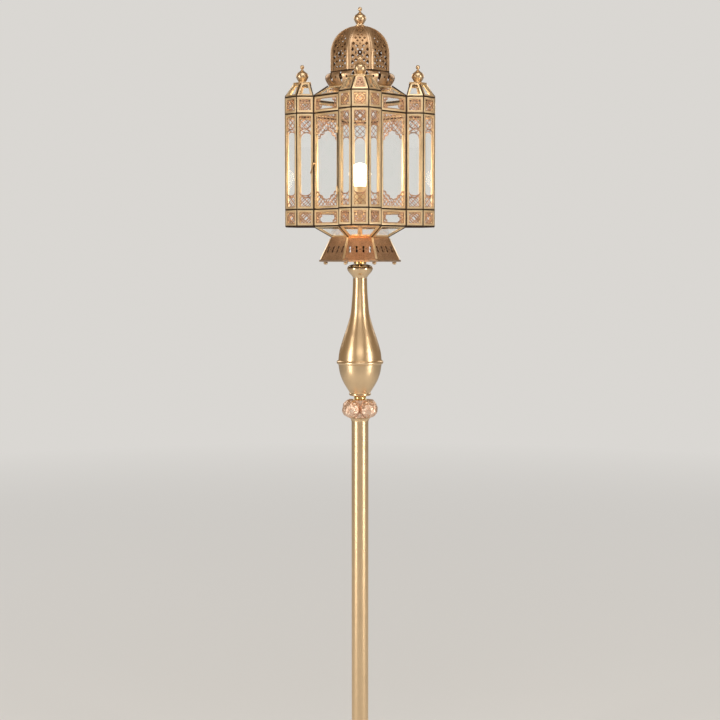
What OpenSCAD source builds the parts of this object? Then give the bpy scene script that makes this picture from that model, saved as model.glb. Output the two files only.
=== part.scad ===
// Lantern floor lamp: a turreted brass and glass lantern on a turned column.
// Millimetres, +Z up, -Y to the front. The origin is the centre of the underside of the base.

/* [Base] */
// Diameter of the base cover at its foot
base_d = 300; // [260:5:360]
// Height of the base cover, from the felt up to the pole foot
base_h = 42; // [36:1:60]
// Height of the upright rim of the base cover
base_rim_h = 14; // [13:1:16]
// Wall of the spun base cover
base_wall = 1.5; // [1:0.1:2.5]
// Thickness of the felt under the base
felt_t = 3; // [2:0.5:5]
// Thickness of the iron weight in the base
weight_t = 20; // [19:0.5:21]
// Bore of the lead outlet at the back of the base
outlet_bore = 6.5; // [6:0.1:7]

/* [Pole] */
// Outer diameter of the pole
pole_d = 35; // [32:1:42]
// Wall of the pole
pole_wall = 1.5; // [1:0.1:2.5]
// Length of the pole that shows
pole_len = 735; // [500:5:900]
// Height of the pole foot
foot_h = 22; // [16:1:30]
// Diameter of the pole foot's flange
foot_d = 64; // [56:1:76]
// Outer diameter of the threaded tie tube
tie_d = 10; // [8:0.5:11]
// Bore of the tie tube
tie_bore = 7; // [6.4:0.1:7.4]
// Diameter of the lead inside the tie tube
lead_d = 5; // [4:0.1:6]

/* [Carved ring and vase] */
// Height of the cup between pole and carved ring
cup_h = 8; // [6:1:14]
// Height of the carved ring
carved_h = 37; // [34:1:42]
// Radius of the carved ring over its lobes
carved_r = 44.5; // [42:0.5:48]
// Number of lobes of the carved ring
carved_lobes = 4; // [4:1:6]
// Height of the gilt neck over the carved ring
neck_h = 8.7; // [6:0.1:12]
// Diameter of the gilt neck
neck_d = 26; // [22:1:30]
// Height of the lower half of the vase
vase_lower_h = 65.5; // [56:0.5:80]
// Height of the bead round the vase
band_h = 8.2; // [6:0.1:12]
// Height of the upper half of the vase
vase_upper_h = 170; // [140:1:220]
// Radius of the vase at its belly
belly_r = 45; // [40:0.5:52]
// How far the bead stands out from the belly
band_out = 3.4; // [2:0.1:5]
// Radius of the vase at its slim neck
vase_neck_r = 14.5; // [13:0.1:18]
// Wall of the spun vase
vase_wall = 2; // [1.2:0.1:3]
// Height of the collar on top of the vase
collar_h = 29; // [24:1:40]
// Radius of the collar
collar_r = 26.5; // [23:0.5:32]

/* [Skirt and lower lantern] */
// Height of the sleeve that carries the lantern over the collar
sleeve_h = 54.5; // [50:0.5:70]
// Outer diameter of the sleeve
sleeve_d = 26; // [22:1:28]
// Height of the flared skirt
skirt_h = 46; // [40:0.5:49]
// Distance across the flats at the top of the skirt
seat_w = 117; // [108:1:124]
// Distance across the flats at the rim of the skirt
rim_w = 161; // [150:1:176]
// Thickness of the skirt sheet
skirt_t = 1.2; // [0.8:0.1:1.6]
// Radius of the bead round the skirt's rim
rim_bead_r = 2; // [1.5:0.1:2.5]
// Diameter of the ball feet
ball_d = 7.2; // [5:0.1:9]
// Height of the sloping glazed part over the skirt
lower_h = 22.2; // [18:0.1:30]

/* [Lantern body] */
// Side of the octagon of a corner turret
turret_side = 35; // [32:0.5:40]
// Distance from the lamp's axis to a turret's centre
turret_reach = 111; // [106:1:124]
// Height of the friezes over and under the windows
frieze_h = 33.7; // [28:0.1:42]
// Height of the windows
window_h = 193.2; // [150:0.1:260]
// Width of the brass strip round a pane
frame_bar = 4; // [3:0.1:5]
// Depth of the brass strip round a pane
frame_depth = 4; // [3.8:0.1:5]
// Width of the dark seam between the strips
seam = 3; // [2:0.1:4]
// Thickness of the brass plates that close the turrets below
floor_t = 1.2; // [0.8:0.1:2]

/* [Roofs, gallery and dome] */
// Height of the glazed roof
roof_h = 22.4; // [18:0.1:30]
// Height of a turret's roof
turret_roof_h = 29.2; // [24:0.1:38]
// Side of the small octagon on top of a turret's roof
turret_cap_side = 20; // [16:0.5:23]
// Height of the bulging gallery under the dome
gallery_h = 29; // [24:0.5:36]
// Radius of the gallery at its foot
gallery_r = 61.5; // [60:0.5:64]
// Radius of the gallery at its widest
gallery_bulge_r = 71.2; // [68:0.1:76]
// Number of slats in the gallery
gallery_slats = 16; // [12:1:20]
// Half the width of the dome across its flats, and the radius of its curve
dome_r = 58; // [54:0.5:59]
// Height of the upright part of the dome
drum_h = 36; // [28:0.5:44]
// Thickness of the dome's sheet
dome_t = 1; // [0.8:0.1:1.5]
// Width of the ribs of the dome
rib_w = 5; // [4:0.1:6]
// Height of a finial
finial_h = 37; // [33:0.1:46]
// Radius of a finial's onion
finial_r = 12.7; // [10:0.1:15]

/* [Glass and fretwork] */
// Thickness of the window glass
glass_t = 1.6; // [1.2:0.1:1.7]
// Thickness of the pierced sheets
fret_t = 0.6; // [0.4:0.05:0.8]
// Pitch of the pierced lattice
lattice_pitch = 7; // [6:0.1:8.5]
// Width of the bars of the pierced lattice
lattice_bar = 1.6; // [1.2:0.1:2.2]

/* [Lamp holder and bulb] */
// Diameter of the bulb's globe
bulb_d = 45; // [40:1:60]
// Height of the bulb's globe centre over the window sill line
bulb_rise = 73.8; // [68:0.1:90]
// Diameter of the bulb's screw cap
cap_d = 26; // [24:0.5:27]
// Diameter of the lamp holder
holder_d = 37; // [34:1:42]

/* [Door] */
// Diameter of a hinge knuckle
knuckle_d = 4; // [3.6:0.1:4.6]
// Diameter of a hinge pin
pin_d = 1.8; // [1.4:0.1:2.2]
// Height of one hinge
hinge_h = 16; // [12:0.5:24]
// Distance from the door's ends to the middle of its hinges
hinge_inset = 36; // [24:1:60]
// Gap all round the door
door_gap = 0.45; // [0.3:0.05:0.6]
// Length of the latch between pivot and stud
latch_drop = 18.4; // [14:0.1:26]
// Height of the latch's pivot over the window sill line
latch_rise = 92.2; // [60:0.1:120]

/* [Hidden] */
$fn = 64;

// Clearances
touch = 0.02;        // between parts that are soldered or stacked
pane_fit = 0.15;     // round a pane in its groove
running_fit = 0.05;  // between a pin and its bore, on the radius
slip_fit = 0.1;      // between tubes that slide into each other, on the radius
past = 1;            // how far a cutter runs past the part it cuts

// Metal colours
brass = [0.80, 0.68, 0.45];
pale_brass = [0.86, 0.76, 0.58];
gilt = [0.83, 0.62, 0.28];
rose_copper = [0.74, 0.50, 0.38];
steel = [0.62, 0.62, 0.62];
iron = [0.22, 0.22, 0.22];
seam_dark = [0.25, 0.20, 0.17];
glass_tint = [0.85, 0.90, 0.90, 0.35];

// Levels, from the floor up
foot_z = felt_t + base_h;
pole_z = foot_z + foot_h;
cup_z = pole_z + pole_len;
carved_z = cup_z + cup_h;
neck_z = carved_z + carved_h;
vase_z = neck_z + neck_h;
band_z = vase_z + vase_lower_h;
upper_z = band_z + band_h;
collar_z = upper_z + vase_upper_h;
sleeve_z = collar_z + collar_h;
seat_z = sleeve_z + sleeve_h;
rim_z = seat_z - skirt_h;
body_z = seat_z + lower_h;
sill_z = body_z + frieze_h;
head_z = sill_z + window_h;
cornice_z = head_z + frieze_h;
gallery_z = cornice_z + roof_h;
dome_z = gallery_z + gallery_h;
spring_z = dome_z + drum_h;
rib_end = 82.5;      // how far a rib runs round the dome's curve, in degrees
rib_out = 0.9;       // how far a rib stands out from the gores
crown_z = spring_z + (dome_r + rib_out) * sin(rib_end) + 3 * touch;
turret_cap_z = cornice_z + turret_roof_h;
bulb_z = sill_z + bulb_rise;

// Lantern plan
half_turn = 22.5;    // half the angle between neighbouring faces of an octagon
turret_apothem = turret_side / 2 / tan(half_turn);
junction_x = turret_apothem;
junction_y = turret_reach - turret_side / 2;
panel_reach = (junction_x + junction_y) / sqrt(2);
panel_w = (junction_y - junction_x) * sqrt(2);
end_inset = frame_depth * tan(half_turn) + touch;
seat_apothem = seat_w / 2;
rim_apothem = rim_w / 2;
seat_side = seat_w * tan(half_turn);
rim_side = rim_w * tan(half_turn);
roof_top_apothem = gallery_r;
roof_top_side = 2 * roof_top_apothem * tan(half_turn);
cap_apothem = turret_cap_side / 2 / tan(half_turn);

// Glazing groove in a strip: the outer lip, the groove's width and its depth
lip = 0.8;
groove_w = frame_depth - lip - 0.7;
groove_d = 1.5;
fret_out = lip + 0.1;
glass_out = fret_out + fret_t + 0.1;

// Shared shapes

// Copies of the children round the axis
module around(count, phase = 0) {
    for (i = [0 : count - 1]) rotate([0, 0, phase + i * 360 / count]) children();
}

// A ring with a rectangular section
module tube(r_out, r_in, h) {
    difference() {
        cylinder(r = r_out, h = h);
        translate([0, 0, -past]) cylinder(r = r_in, h = h + 2 * past);
    }
}

// A hexagon nut round the tie tube
module hex_nut(across, h) {
    difference() {
        cylinder(r = across / sqrt(3), h = h, $fn = 6);
        translate([0, 0, -past]) cylinder(r = tie_d / 2 + slip_fit, h = h + 2 * past);
    }
}

// A smooth curve through (radius, height) points: steps points along each span
function curve_point(a, b, c, d, t) =
    0.5 * (2 * b + (c - a) * t + (2 * a - 5 * b + 4 * c - d) * t * t + (3 * b - a - 3 * c + d) * t * t * t);
function curve(points, steps) = let (last = len(points) - 1) [
    for (i = [0 : last - 1])
        for (j = [0 : steps - 1])
            curve_point(points[max(i - 1, 0)], points[i], points[i + 1], points[min(i + 2, last)], j / steps),
    points[last]
];
function reversed(points) = [for (i = [len(points) - 1 : -1 : 0]) points[i]];
function inward(points, wall) = [for (p = points) [p[0] - wall, p[1]]];

// A spun shell: the outline turned round the axis with a wall of even width
module spun_shell(outline, wall) {
    rotate_extrude() polygon(concat(outline, reversed(inward(outline, wall))));
}

// A solid turned piece with a bore along its axis
module turned(outline, bore_r) {
    last = len(outline) - 1;
    rotate_extrude()
        polygon(concat(outline, [[bore_r, outline[last][1]], [bore_r, outline[0][1]]]));
}

// Base

module base_felt() {
    color("darkgreen") tube(base_d / 2 - base_wall, nut_space_r, felt_t);
}

weight_r = base_d / 2 - base_wall - 8;
weight_step_r = base_d / 2 - 45;
weight_rim_h = base_rim_h - 3;
boss_r = 25;
nut_space_r = 26;
nut_space_h = weight_t - 5;
base_nut_h = 5;
bush_wall = 1.6;
outlet_z = felt_t + outlet_bore / 2 + bush_wall + 1.1;
lead_bend_r = 5;

module base_weight() {
    color(iron) translate([0, 0, felt_t]) difference() {
        union() {
            cylinder(r = weight_r, h = weight_rim_h);
            cylinder(r = weight_step_r, h = weight_t);
            cylinder(r = boss_r, h = base_h - base_wall - touch);
        }
        translate([0, 0, -past]) cylinder(r = tie_d / 2 + slip_fit, h = base_h + past);
        translate([0, 0, -past]) cylinder(r = nut_space_r, h = nut_space_h + past);
        // Channel for the lead from the outlet to the middle
        translate([-outlet_bore, 0, -past])
            cube([2 * outlet_bore, weight_r + past, outlet_z - felt_t + outlet_bore / 2 + past]);
    }
}

// Outline of the cover: upright rim, step, ogee up to the foot's seat
function base_outline() = concat(
    [[base_d / 2, felt_t], [base_d / 2, felt_t + base_rim_h - 2], [base_d / 2 - 2, felt_t + base_rim_h],
     [base_d / 2 - 10, felt_t + base_rim_h]],
    curve([[base_d / 2 - 12, felt_t + base_rim_h + 3],
           [base_d / 2 - 28, felt_t + weight_t + 2.5],
           [base_d / 2 - 66, felt_t + weight_t + 5],
           [foot_d / 2 + 14, foot_z - (foot_z - felt_t - weight_t - 5) / 2.2],
           [foot_d / 2 + 4, foot_z]], 5),
    [[foot_d / 2, foot_z]]
);

module base_cover() {
    color(brass) difference() {
        rotate_extrude() polygon(concat(
            base_outline(),
            [[tie_d / 2 + slip_fit, foot_z], [tie_d / 2 + slip_fit, foot_z - base_wall]],
            reversed([for (p = base_outline()) if (p[1] > felt_t) [p[0] - base_wall, p[1] - base_wall]]),
            [[base_d / 2 - base_wall, felt_t]]));
        translate([0, 0, outlet_z]) rotate([-90, 0, 0])
            cylinder(r = bush_r + slip_fit, h = base_d);
    }
}

// Lead outlet
bush_r = outlet_bore / 2 + bush_wall;
bush_flange_r = bush_r + 1;
bush_flange_t = 2;
bush_len = 9;

module cord_bush() {
    color(iron) translate([0, base_d / 2, outlet_z]) rotate([-90, 0, 0]) difference() {
        union() {
            translate([0, 0, touch]) cylinder(r = bush_flange_r, h = bush_flange_t);
            translate([0, 0, -bush_len + bush_flange_t]) cylinder(r = bush_r, h = bush_len);
        }
        translate([0, 0, -bush_len]) cylinder(r = outlet_bore / 2, h = bush_len * 2);
    }
}

module base_nut() {
    color(steel) translate([0, 0, felt_t + nut_space_h - base_nut_h - touch]) hex_nut(17, base_nut_h);
}

// Pole

function foot_outline() = concat(
    [[foot_d / 2, foot_z], [foot_d / 2, foot_z + 3]],
    curve([[foot_d / 2 - 2, foot_z + 4.5], [foot_d / 2 - 9, foot_z + 6.5],
           [pole_d / 2 + 2.6, foot_z + foot_h * 0.6], [pole_d / 2 + 2.2, foot_z + foot_h - 4]], 5),
    [[pole_d / 2 + 3.2, foot_z + foot_h - 3.2], [pole_d / 2 + 3.2, foot_z + foot_h - 1],
     [pole_d / 2 + 2, foot_z + foot_h]]
);

spigot_r = pole_d / 2 - pole_wall - slip_fit;
spigot_h = 14;

module pole_foot() {
    color(brass) union() {
        turned(foot_outline(), tie_d / 2 + slip_fit);
        translate([0, 0, pole_z]) tube(spigot_r, tie_d / 2 + slip_fit, spigot_h);
    }
}

module pole_tube() {
    color(brass) translate([0, 0, pole_z]) tube(pole_d / 2, pole_d / 2 - pole_wall, pole_len);
}

function cup_outline() = curve([[pole_d / 2 + 0.6, cup_z], [pole_d / 2 + 1.4, cup_z + cup_h * 0.45],
                                [pole_d / 2 + 4.6, cup_z + cup_h]], 5);

module pole_cup() {
    color(brass) union() {
        turned(cup_outline(), tie_d / 2 + slip_fit);
        translate([0, 0, cup_z - spigot_h]) tube(spigot_r, tie_d / 2 + slip_fit, spigot_h);
    }
}

// Carved ring: fat lobes round a plain core
lobe_r = carved_h / 2 + 0.6;
core_r = pole_d / 2 + 4.6;

module carved_ring() {
    color([0.90, 0.72, 0.58]) difference() {
        union() {
            translate([0, 0, carved_z]) cylinder(r = core_r - 3, h = carved_h);
            intersection() {
                translate([0, 0, carved_z]) cylinder(r = carved_r * 2, h = carved_h);
                around(carved_lobes, 45)
                    translate([carved_r - lobe_r, 0, carved_z + carved_h / 2]) sphere(r = lobe_r);
            }
        }
        translate([0, 0, carved_z - past])
            cylinder(r = tie_d / 2 + slip_fit, h = carved_h + 2 * past);
    }
}

module neck_spacer() {
    color(gilt)
        turned([[neck_d / 2 + 1, neck_z], [neck_d / 2 - 0.6, neck_z + neck_h * 0.3],
                [neck_d / 2 - 0.6, neck_z + neck_h * 0.7], [neck_d / 2 + 1, neck_z + neck_h]],
               tie_d / 2 + slip_fit);
}

// Vase

small_collar_h = 6;
vase_foot_r = 22.5;

function vase_lower_outline() = concat(
    [[vase_foot_r - 1.5, vase_z], [vase_foot_r, vase_z + small_collar_h * 0.3],
     [vase_foot_r, vase_z + small_collar_h * 0.8], [vase_foot_r - 1, vase_z + small_collar_h]],
    curve([[vase_foot_r, vase_z + small_collar_h + 2],
           [vase_foot_r + (belly_r - vase_foot_r) * 0.43, vase_z + vase_lower_h * 0.36],
           [vase_foot_r + (belly_r - vase_foot_r) * 0.70, vase_z + vase_lower_h * 0.55],
           [vase_foot_r + (belly_r - vase_foot_r) * 0.88, vase_z + vase_lower_h * 0.75],
           [belly_r, band_z]], 5)
);

module vase_lower() {
    color(pale_brass) union() {
        spun_shell(vase_lower_outline(), vase_wall);
        // Floor that seats on the gilt neck
        translate([0, 0, vase_z])
            tube(vase_foot_r - 1.5, tie_d / 2 + slip_fit, vase_wall);
    }
}

module vase_band() {
    color(pale_brass) rotate_extrude() polygon(concat(
        [[belly_r - vase_wall, band_z], [belly_r, band_z]],
        [for (a = [-80 : 20 : 80])
            [belly_r + band_out * cos(a), band_z + band_h / 2 + band_h / 2 * sin(a)]],
        [[belly_r, upper_z], [belly_r - vase_wall, upper_z]]));
}

// Radii of the upper vase as shares of the way from its slim neck to the belly
function swell(share, part) = [vase_neck_r + (belly_r - vase_neck_r) * share, upper_z + vase_upper_h * part];

function vase_upper_outline() = curve([
    [belly_r, upper_z], swell(0.91, 0.12), swell(0.665, 0.27), swell(0.39, 0.415), swell(0.165, 0.56),
    swell(0.08, 0.70), swell(0.02, 0.85), [vase_neck_r, collar_z]], 5);

module vase_upper() {
    color(pale_brass) spun_shell(vase_upper_outline(), vase_wall);
}

function collar_outline() = concat(
    curve([[vase_neck_r, collar_z], [vase_neck_r + 3, collar_z + collar_h * 0.15],
           [collar_r - 3.6, collar_z + collar_h * 0.43], [collar_r - 0.6, collar_z + collar_h * 0.6],
           [collar_r, collar_z + collar_h * 0.72], [collar_r - 4.6, collar_z + collar_h * 0.87],
           [sleeve_d / 2 + 1.4, collar_z + collar_h * 0.96]], 5),
    [[sleeve_d / 2 + 1, sleeve_z]]
);

module vase_collar() {
    color(pale_brass) turned(collar_outline(), tie_d / 2 + slip_fit);
}

module lantern_sleeve() {
    color(brass) translate([0, 0, sleeve_z]) tube(sleeve_d / 2, tie_d / 2 + slip_fit, sleeve_h - bridge_t);
}

// Tie tube from under the base up to the lamp holder, and the lead in it
tie_low_z = outlet_z + lead_bend_r - 1;
tie_top_z = sill_z + 6;

module tie_tube() {
    color(steel) translate([0, 0, tie_low_z]) tube(tie_d / 2, tie_bore / 2, tie_top_z - tie_low_z);
}

// The pieces run a little into each other, so that the lead is one solid
lead_join = 0.05;

module inner_lead() {
    color("dimgray") union() {
        translate([0, 0, outlet_z + lead_bend_r - lead_join])
            cylinder(r = lead_d / 2, h = tie_top_z - 2 - outlet_z - lead_bend_r + lead_join);
        translate([0, lead_bend_r, outlet_z + lead_bend_r]) rotate([0, 90, 0]) rotate([0, 0, -90])
            rotate_extrude(angle = 90) translate([lead_bend_r, 0]) circle(r = lead_d / 2);
        translate([0, lead_bend_r - lead_join, outlet_z]) rotate([-90, 0, 0])
            cylinder(r = lead_d / 2, h = base_d / 2 - lead_bend_r - bush_len + lead_join);
    }
}

// Flat faces of the lantern. A face is drawn in its own plane: x across, y up the slope,
// z outward, and then stood on its lower edge, reach_low from the axis, facing the front.

module on_face(reach_low, z_low, reach_high, z_high) {
    translate([0, -reach_low, z_low])
        rotate([90 - atan2(reach_low - reach_high, z_high - z_low), 0, 0]) children();
}

function slope(reach_low, z_low, reach_high, z_high) = norm([reach_low - reach_high, z_high - z_low]);

// Corners of a face, drawn in by side, low and high from its edges
function trapezoid(w_low, w_high, h, side, low, high) = let (
    lean = (w_high - w_low) / 2 / h,
    cut = side * sqrt(1 + lean * lean),
    half_low = w_low / 2 + lean * low - cut,
    half_high = w_low / 2 + lean * (h - high) - cut
) [[-half_low, low], [half_low, low], [half_high, h - high], [-half_high, h - high]];

module sheet(points, z_from, t) {
    translate([0, 0, z_from]) linear_extrude(t) polygon(points);
}

// A strip frame round a pane, grooved inside for the glass and the pierced sheet
module strip_frame(w_low, w_high, h, side, low, high) {
    difference() {
        sheet(trapezoid(w_low, w_high, h, side, low, high), -frame_depth, frame_depth);
        sheet(trapezoid(w_low, w_high, h, side + frame_bar, low + frame_bar, high + frame_bar),
              -frame_depth - past, frame_depth + 2 * past);
        sheet(trapezoid(w_low, w_high, h, side + frame_bar - groove_d,
                        low + frame_bar - groove_d, high + frame_bar - groove_d),
              -lip - groove_w, groove_w);
    }
}

pane_edge = frame_bar - groove_d + pane_fit;

// Keeps what lies between two levels, so that sloping frames seat flat on their neighbours
module between(z_low, z_high) {
    intersection() {
        children();
        translate([-base_d, -base_d, z_low]) cube([2 * base_d, 2 * base_d, z_high - z_low]);
    }
}

module pane(w_low, w_high, h, side, low, high) {
    sheet(trapezoid(w_low, w_high, h, side + pane_edge, low + pane_edge, high + pane_edge),
          -glass_out - glass_t, glass_t);
}

// Skirt

bridge_t = 3;
bridge_w = 22;

// An octagonal plate with its flats to the front and sides
module octagon_plate(apothem, h) {
    rotate([0, 0, half_turn]) cylinder(r = apothem / cos(half_turn), h = h, $fn = 8);
}

module octagon_ring(apothem, width, h) {
    difference() {
        octagon_plate(apothem, h);
        translate([0, 0, -past]) octagon_plate(apothem - width, h + 2 * past);
    }
}

// Cross that carries the lantern on the sleeve, with the octagonal seat round it
module seat_bridge() {
    color(brass) translate([0, 0, seat_z - bridge_t]) difference() {
        union() {
            octagon_ring(seat_apothem - skirt_t, 7, bridge_t);
            intersection() {
                octagon_plate(seat_apothem - skirt_t - 1, bridge_t);
                for (a = [45, 135]) rotate([0, 0, a])
                    translate([-seat_apothem - 10, -bridge_w / 2, 0])
                        cube([seat_w + 20, bridge_w, bridge_t]);
            }
        }
        translate([0, 0, -past]) cylinder(r = tie_d / 2 + slip_fit, h = bridge_t + 2 * past);
    }
}

seat_nut_h = 5;
module seat_nuts() {
    color(steel) translate([0, 0, seat_z + touch]) hex_nut(17, seat_nut_h);
}

skirt_slant = slope(rim_apothem, rim_z, seat_apothem, seat_z);
slot_w = 4;
slot_len = 15;
slot_pitch = 13.5;
dot_r = 1.3;

// Waisted slot: two teardrop ends that meet in a narrow middle
module waisted_slot() {
    for (end = [-1, 1]) translate([0, end * (slot_len / 2 - slot_w / 2)]) circle(d = slot_w);
    difference() {
        square([slot_w, slot_len - slot_w], center = true);
        for (end = [-1, 1]) translate([end * (slot_w / 2 + 1.6), 0]) circle(r = 2.6);
    }
}

module skirt_panels() {
    color(rose_copper) around(8) on_face(rim_apothem, rim_z, seat_apothem, seat_z)
        translate([0, 0, -skirt_t]) linear_extrude(skirt_t) difference() {
            polygon(trapezoid(rim_side, seat_side, skirt_slant, skirt_t * tan(half_turn) + touch, 0, 0));
            translate([0, skirt_slant * 0.47]) {
                for (i = [-1.5 : 1 : 1.5]) translate([i * slot_pitch, 0]) waisted_slot();
                for (i = [-1 : 1]) translate([i * slot_pitch, 0]) circle(r = dot_r);
            }
        }
}

// A flat strip laid along the edge where two faces of the skirt meet
arris_w = 4.4;
arris_t = 0.8;

module skirt_arrises() {
    color(pale_brass) around(8, half_turn)
        on_face(rim_apothem / cos(half_turn), rim_z, seat_apothem / cos(half_turn), seat_z)
            translate([-arris_w / 2, rim_bead_r, touch])
                cube([arris_w, norm([(rim_apothem - seat_apothem) / cos(half_turn), skirt_h])
                      - 2 * rim_bead_r, arris_t]);
}

flange_w = 15;
flange_t = 1.2;

// The bead is eight rods mitred where they meet, and the flange is soldered inside it
module skirt_rim() {
    reach = rim_apothem + rim_bead_r * 0.5;
    color(rose_copper) {
        around(8) intersection() {
            translate([-reach, -reach, rim_z - rim_bead_r]) rotate([0, 90, 0])
                cylinder(r = rim_bead_r, h = 2 * reach, $fn = 12);
            translate([0, 0, rim_z - skirt_h]) linear_extrude(2 * skirt_h)
                polygon([[0, 0], [-rim_w * tan(half_turn), -rim_w], [rim_w * tan(half_turn), -rim_w]]);
        }
        translate([0, 0, rim_z - rim_bead_r - flange_t / 2])
            octagon_ring(reach - rim_bead_r - touch, flange_w, flange_t);
    }
}

ball_reach = rim_apothem / cos(half_turn) - 10.5;

module ball_feet() {
    color(brass) around(8, half_turn)
        translate([0, -ball_reach, rim_z - rim_bead_r - flange_t / 2 - touch - ball_d / 2]) sphere(d = ball_d);
}

// Sloping glazed part between skirt and body. Its panel faces lie under the four wide panels,
// its turret faces under the open backs of the turrets.

function wide(i) = i % 2 == 1;
function outer_reach(i) = wide(i) ? panel_reach : junction_y;
function outer_w(i) = wide(i) ? panel_w : 2 * junction_x;
lower_foot_z = seat_z + touch;
lower_top_z = body_z - seam / 2 - touch;
function lower_slant(i) = slope(seat_apothem, lower_foot_z, outer_reach(i), lower_top_z);

module lower_frames() {
    color(pale_brass) for (i = [0 : 7]) rotate([0, 0, 45 * i]) between(lower_foot_z, lower_top_z)
        on_face(seat_apothem, lower_foot_z, outer_reach(i), lower_top_z)
            strip_frame(seat_side, outer_w(i), lower_slant(i), end_inset, 0, 0);
}

module lower_panes() {
    color(glass_tint) for (i = [0 : 7]) rotate([0, 0, 45 * i]) between(lower_foot_z, lower_top_z)
        on_face(seat_apothem, lower_foot_z, outer_reach(i), lower_top_z)
            pane(seat_side, outer_w(i), lower_slant(i), end_inset, 0, 0);
}

// Outline of the lantern's body, drawn in by t: five faces of each turret and four wide panels
function turret_points(t) = let (
    a = turret_apothem - t,
    s = a * tan(half_turn),
    back = turret_reach - (panel_reach - t) * sqrt(2) + a
) [[-a, back], [-a, -s], [-s, -a], [s, -a], [a, -s], [a, back]];
function turned_point(p, angle) = [p[0] * cos(angle) - p[1] * sin(angle), p[0] * sin(angle) + p[1] * cos(angle)];
function body_outline(t) = [
    for (i = [0 : 3]) for (p = turret_points(t)) turned_point([p[0], p[1] - turret_reach], 90 * i)
];

// Posts in the grooves between the frames: at an outer corner the post lies in the groove,
// at a junction between turret and panel it stands just inside the corner
outer_post_in = 1.6;
junction_post_in = 0.5;
outer_post_r = end_inset - outer_post_in * sin(half_turn) - touch;
junction_post_r = end_inset + junction_post_in * sin(half_turn) - touch;

// Calls the children at every post: grow is added to the post's radius
module post_shapes(h, grow) {
    around(4) {
        translate([0, -turret_reach, 0]) for (a = [-67.5 : 45 : 67.5]) rotate([0, 0, a])
            translate([0, -turret_apothem / cos(half_turn) + outer_post_in, 0])
                cylinder(r = outer_post_r + grow, h = h, $fn = 32);
        for (side = [-1, 1]) {
            out = junction_post_in;
            translate([side * junction_x - out * side * cos(half_turn),
                       -junction_y + out * sin(half_turn), 0])
                cylinder(r = junction_post_r + grow, h = h, $fn = 32);
        }
    }
}

module corner_posts() {
    color(seam_dark) translate([0, 0, body_z - seam / 2])
        post_shapes(cornice_z - body_z + seam, 0);
}

// Bands in the seams between the frames, right round the body
band_in = 1;
module seam_bands() {
    color(seam_dark) for (z = [body_z, sill_z, head_z, cornice_z])
        translate([0, 0, z - seam / 2 + touch]) difference() {
            linear_extrude(seam - 2 * touch) difference() {
                polygon(body_outline(band_in));
                polygon(body_outline(frame_depth));
            }
            translate([0, 0, -past]) post_shapes(seam + 2 * past, touch);
        }
}

// The three frames of a face, one over the other: foot and head of each
stages = [[body_z, sill_z], [sill_z, head_z], [head_z, cornice_z]];

module at_turret_faces(i) {
    rotate([0, 0, 90 * i]) translate([0, -turret_reach, 0])
        for (k = [-2 : 2]) rotate([0, 0, 45 * k]) children();
}

module turret_frames(i) {
    color(pale_brass) at_turret_faces(i) for (stage = stages)
        on_face(turret_apothem, stage[0], turret_apothem, stage[1])
            strip_frame(turret_side, turret_side, stage[1] - stage[0], end_inset, seam / 2, seam / 2);
}

module front_turret_frames() { turret_frames(0); }
module right_turret_frames() { turret_frames(1); }
module back_turret_frames() { turret_frames(2); }
module left_turret_frames() { turret_frames(3); }

door_side = 3;

module panel_frames() {
    color(pale_brass) for (i = [0 : 3]) rotate([0, 0, 45 + 90 * i]) for (j = [0 : 2])
        if (!(i == door_side && j == 1))
            on_face(panel_reach, stages[j][0], panel_reach, stages[j][1])
                strip_frame(panel_w, panel_w, stages[j][1] - stages[j][0], end_inset, seam / 2, seam / 2);
}

module window_panes() {
    color(glass_tint) {
        for (i = [0 : 3]) at_turret_faces(i) for (stage = stages)
            on_face(turret_apothem, stage[0], turret_apothem, stage[1])
                pane(turret_side, turret_side, stage[1] - stage[0], end_inset, seam / 2, seam / 2);
        for (i = [0 : 3]) rotate([0, 0, 45 + 90 * i]) for (j = [0 : 2])
            if (!(i == door_side && j == 1))
                on_face(panel_reach, stages[j][0], panel_reach, stages[j][1])
                    pane(panel_w, panel_w, stages[j][1] - stages[j][0], end_inset, seam / 2, seam / 2);
    }
}

module turret_floors() {
    color(brass) around(4) translate([0, -turret_reach, body_z + seam / 2])
        linear_extrude(floor_t) difference() {
            polygon(turret_points(frame_depth + touch));
            translate([-turret_side, turret_side / 2 + touch])
                square([2 * turret_side, turret_side]);
        }
}

// Pierced sheets. Each is drawn flat, x across and y up from the lower line of its frame.

hole = lattice_pitch / sqrt(2) - lattice_bar;
fret_edge = end_inset + pane_edge;
opening_edge = end_inset + frame_bar;
edge_low = seam / 2 + pane_edge;
open_low = seam / 2 + frame_bar;

module fret_plate(w, low, high) {
    translate([-w / 2 + fret_edge, low]) square([w - 2 * fret_edge, high - low]);
}

// Middles of the diamond holes that fit between low and high: two rows, one set between the other
function lattice_points(w, low, high) = let (
    half = (w / 2 - opening_edge - lattice_pitch / 2),
    columns = floor(half / lattice_pitch * 2),
    rows = floor((high - low - lattice_pitch) / lattice_pitch * 2)
) [
    for (i = [-columns : columns]) for (j = [0 : rows])
        if ((i + columns + j) % 2 == 0)
            [i * lattice_pitch / 2, low + lattice_pitch / 2 + j * (high - low - lattice_pitch) / rows]
];

module holes(points) {
    for (p = points) translate(p) rotate([0, 0, 45]) square(hole, center = true);
}

// Upper sheet of a turret window: lattice over a round arch
arch_spring_h = 149.5;
turret_arch_r = (turret_side / 2 - opening_edge) * 1.03;
arch_rim = 2.1;

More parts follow.
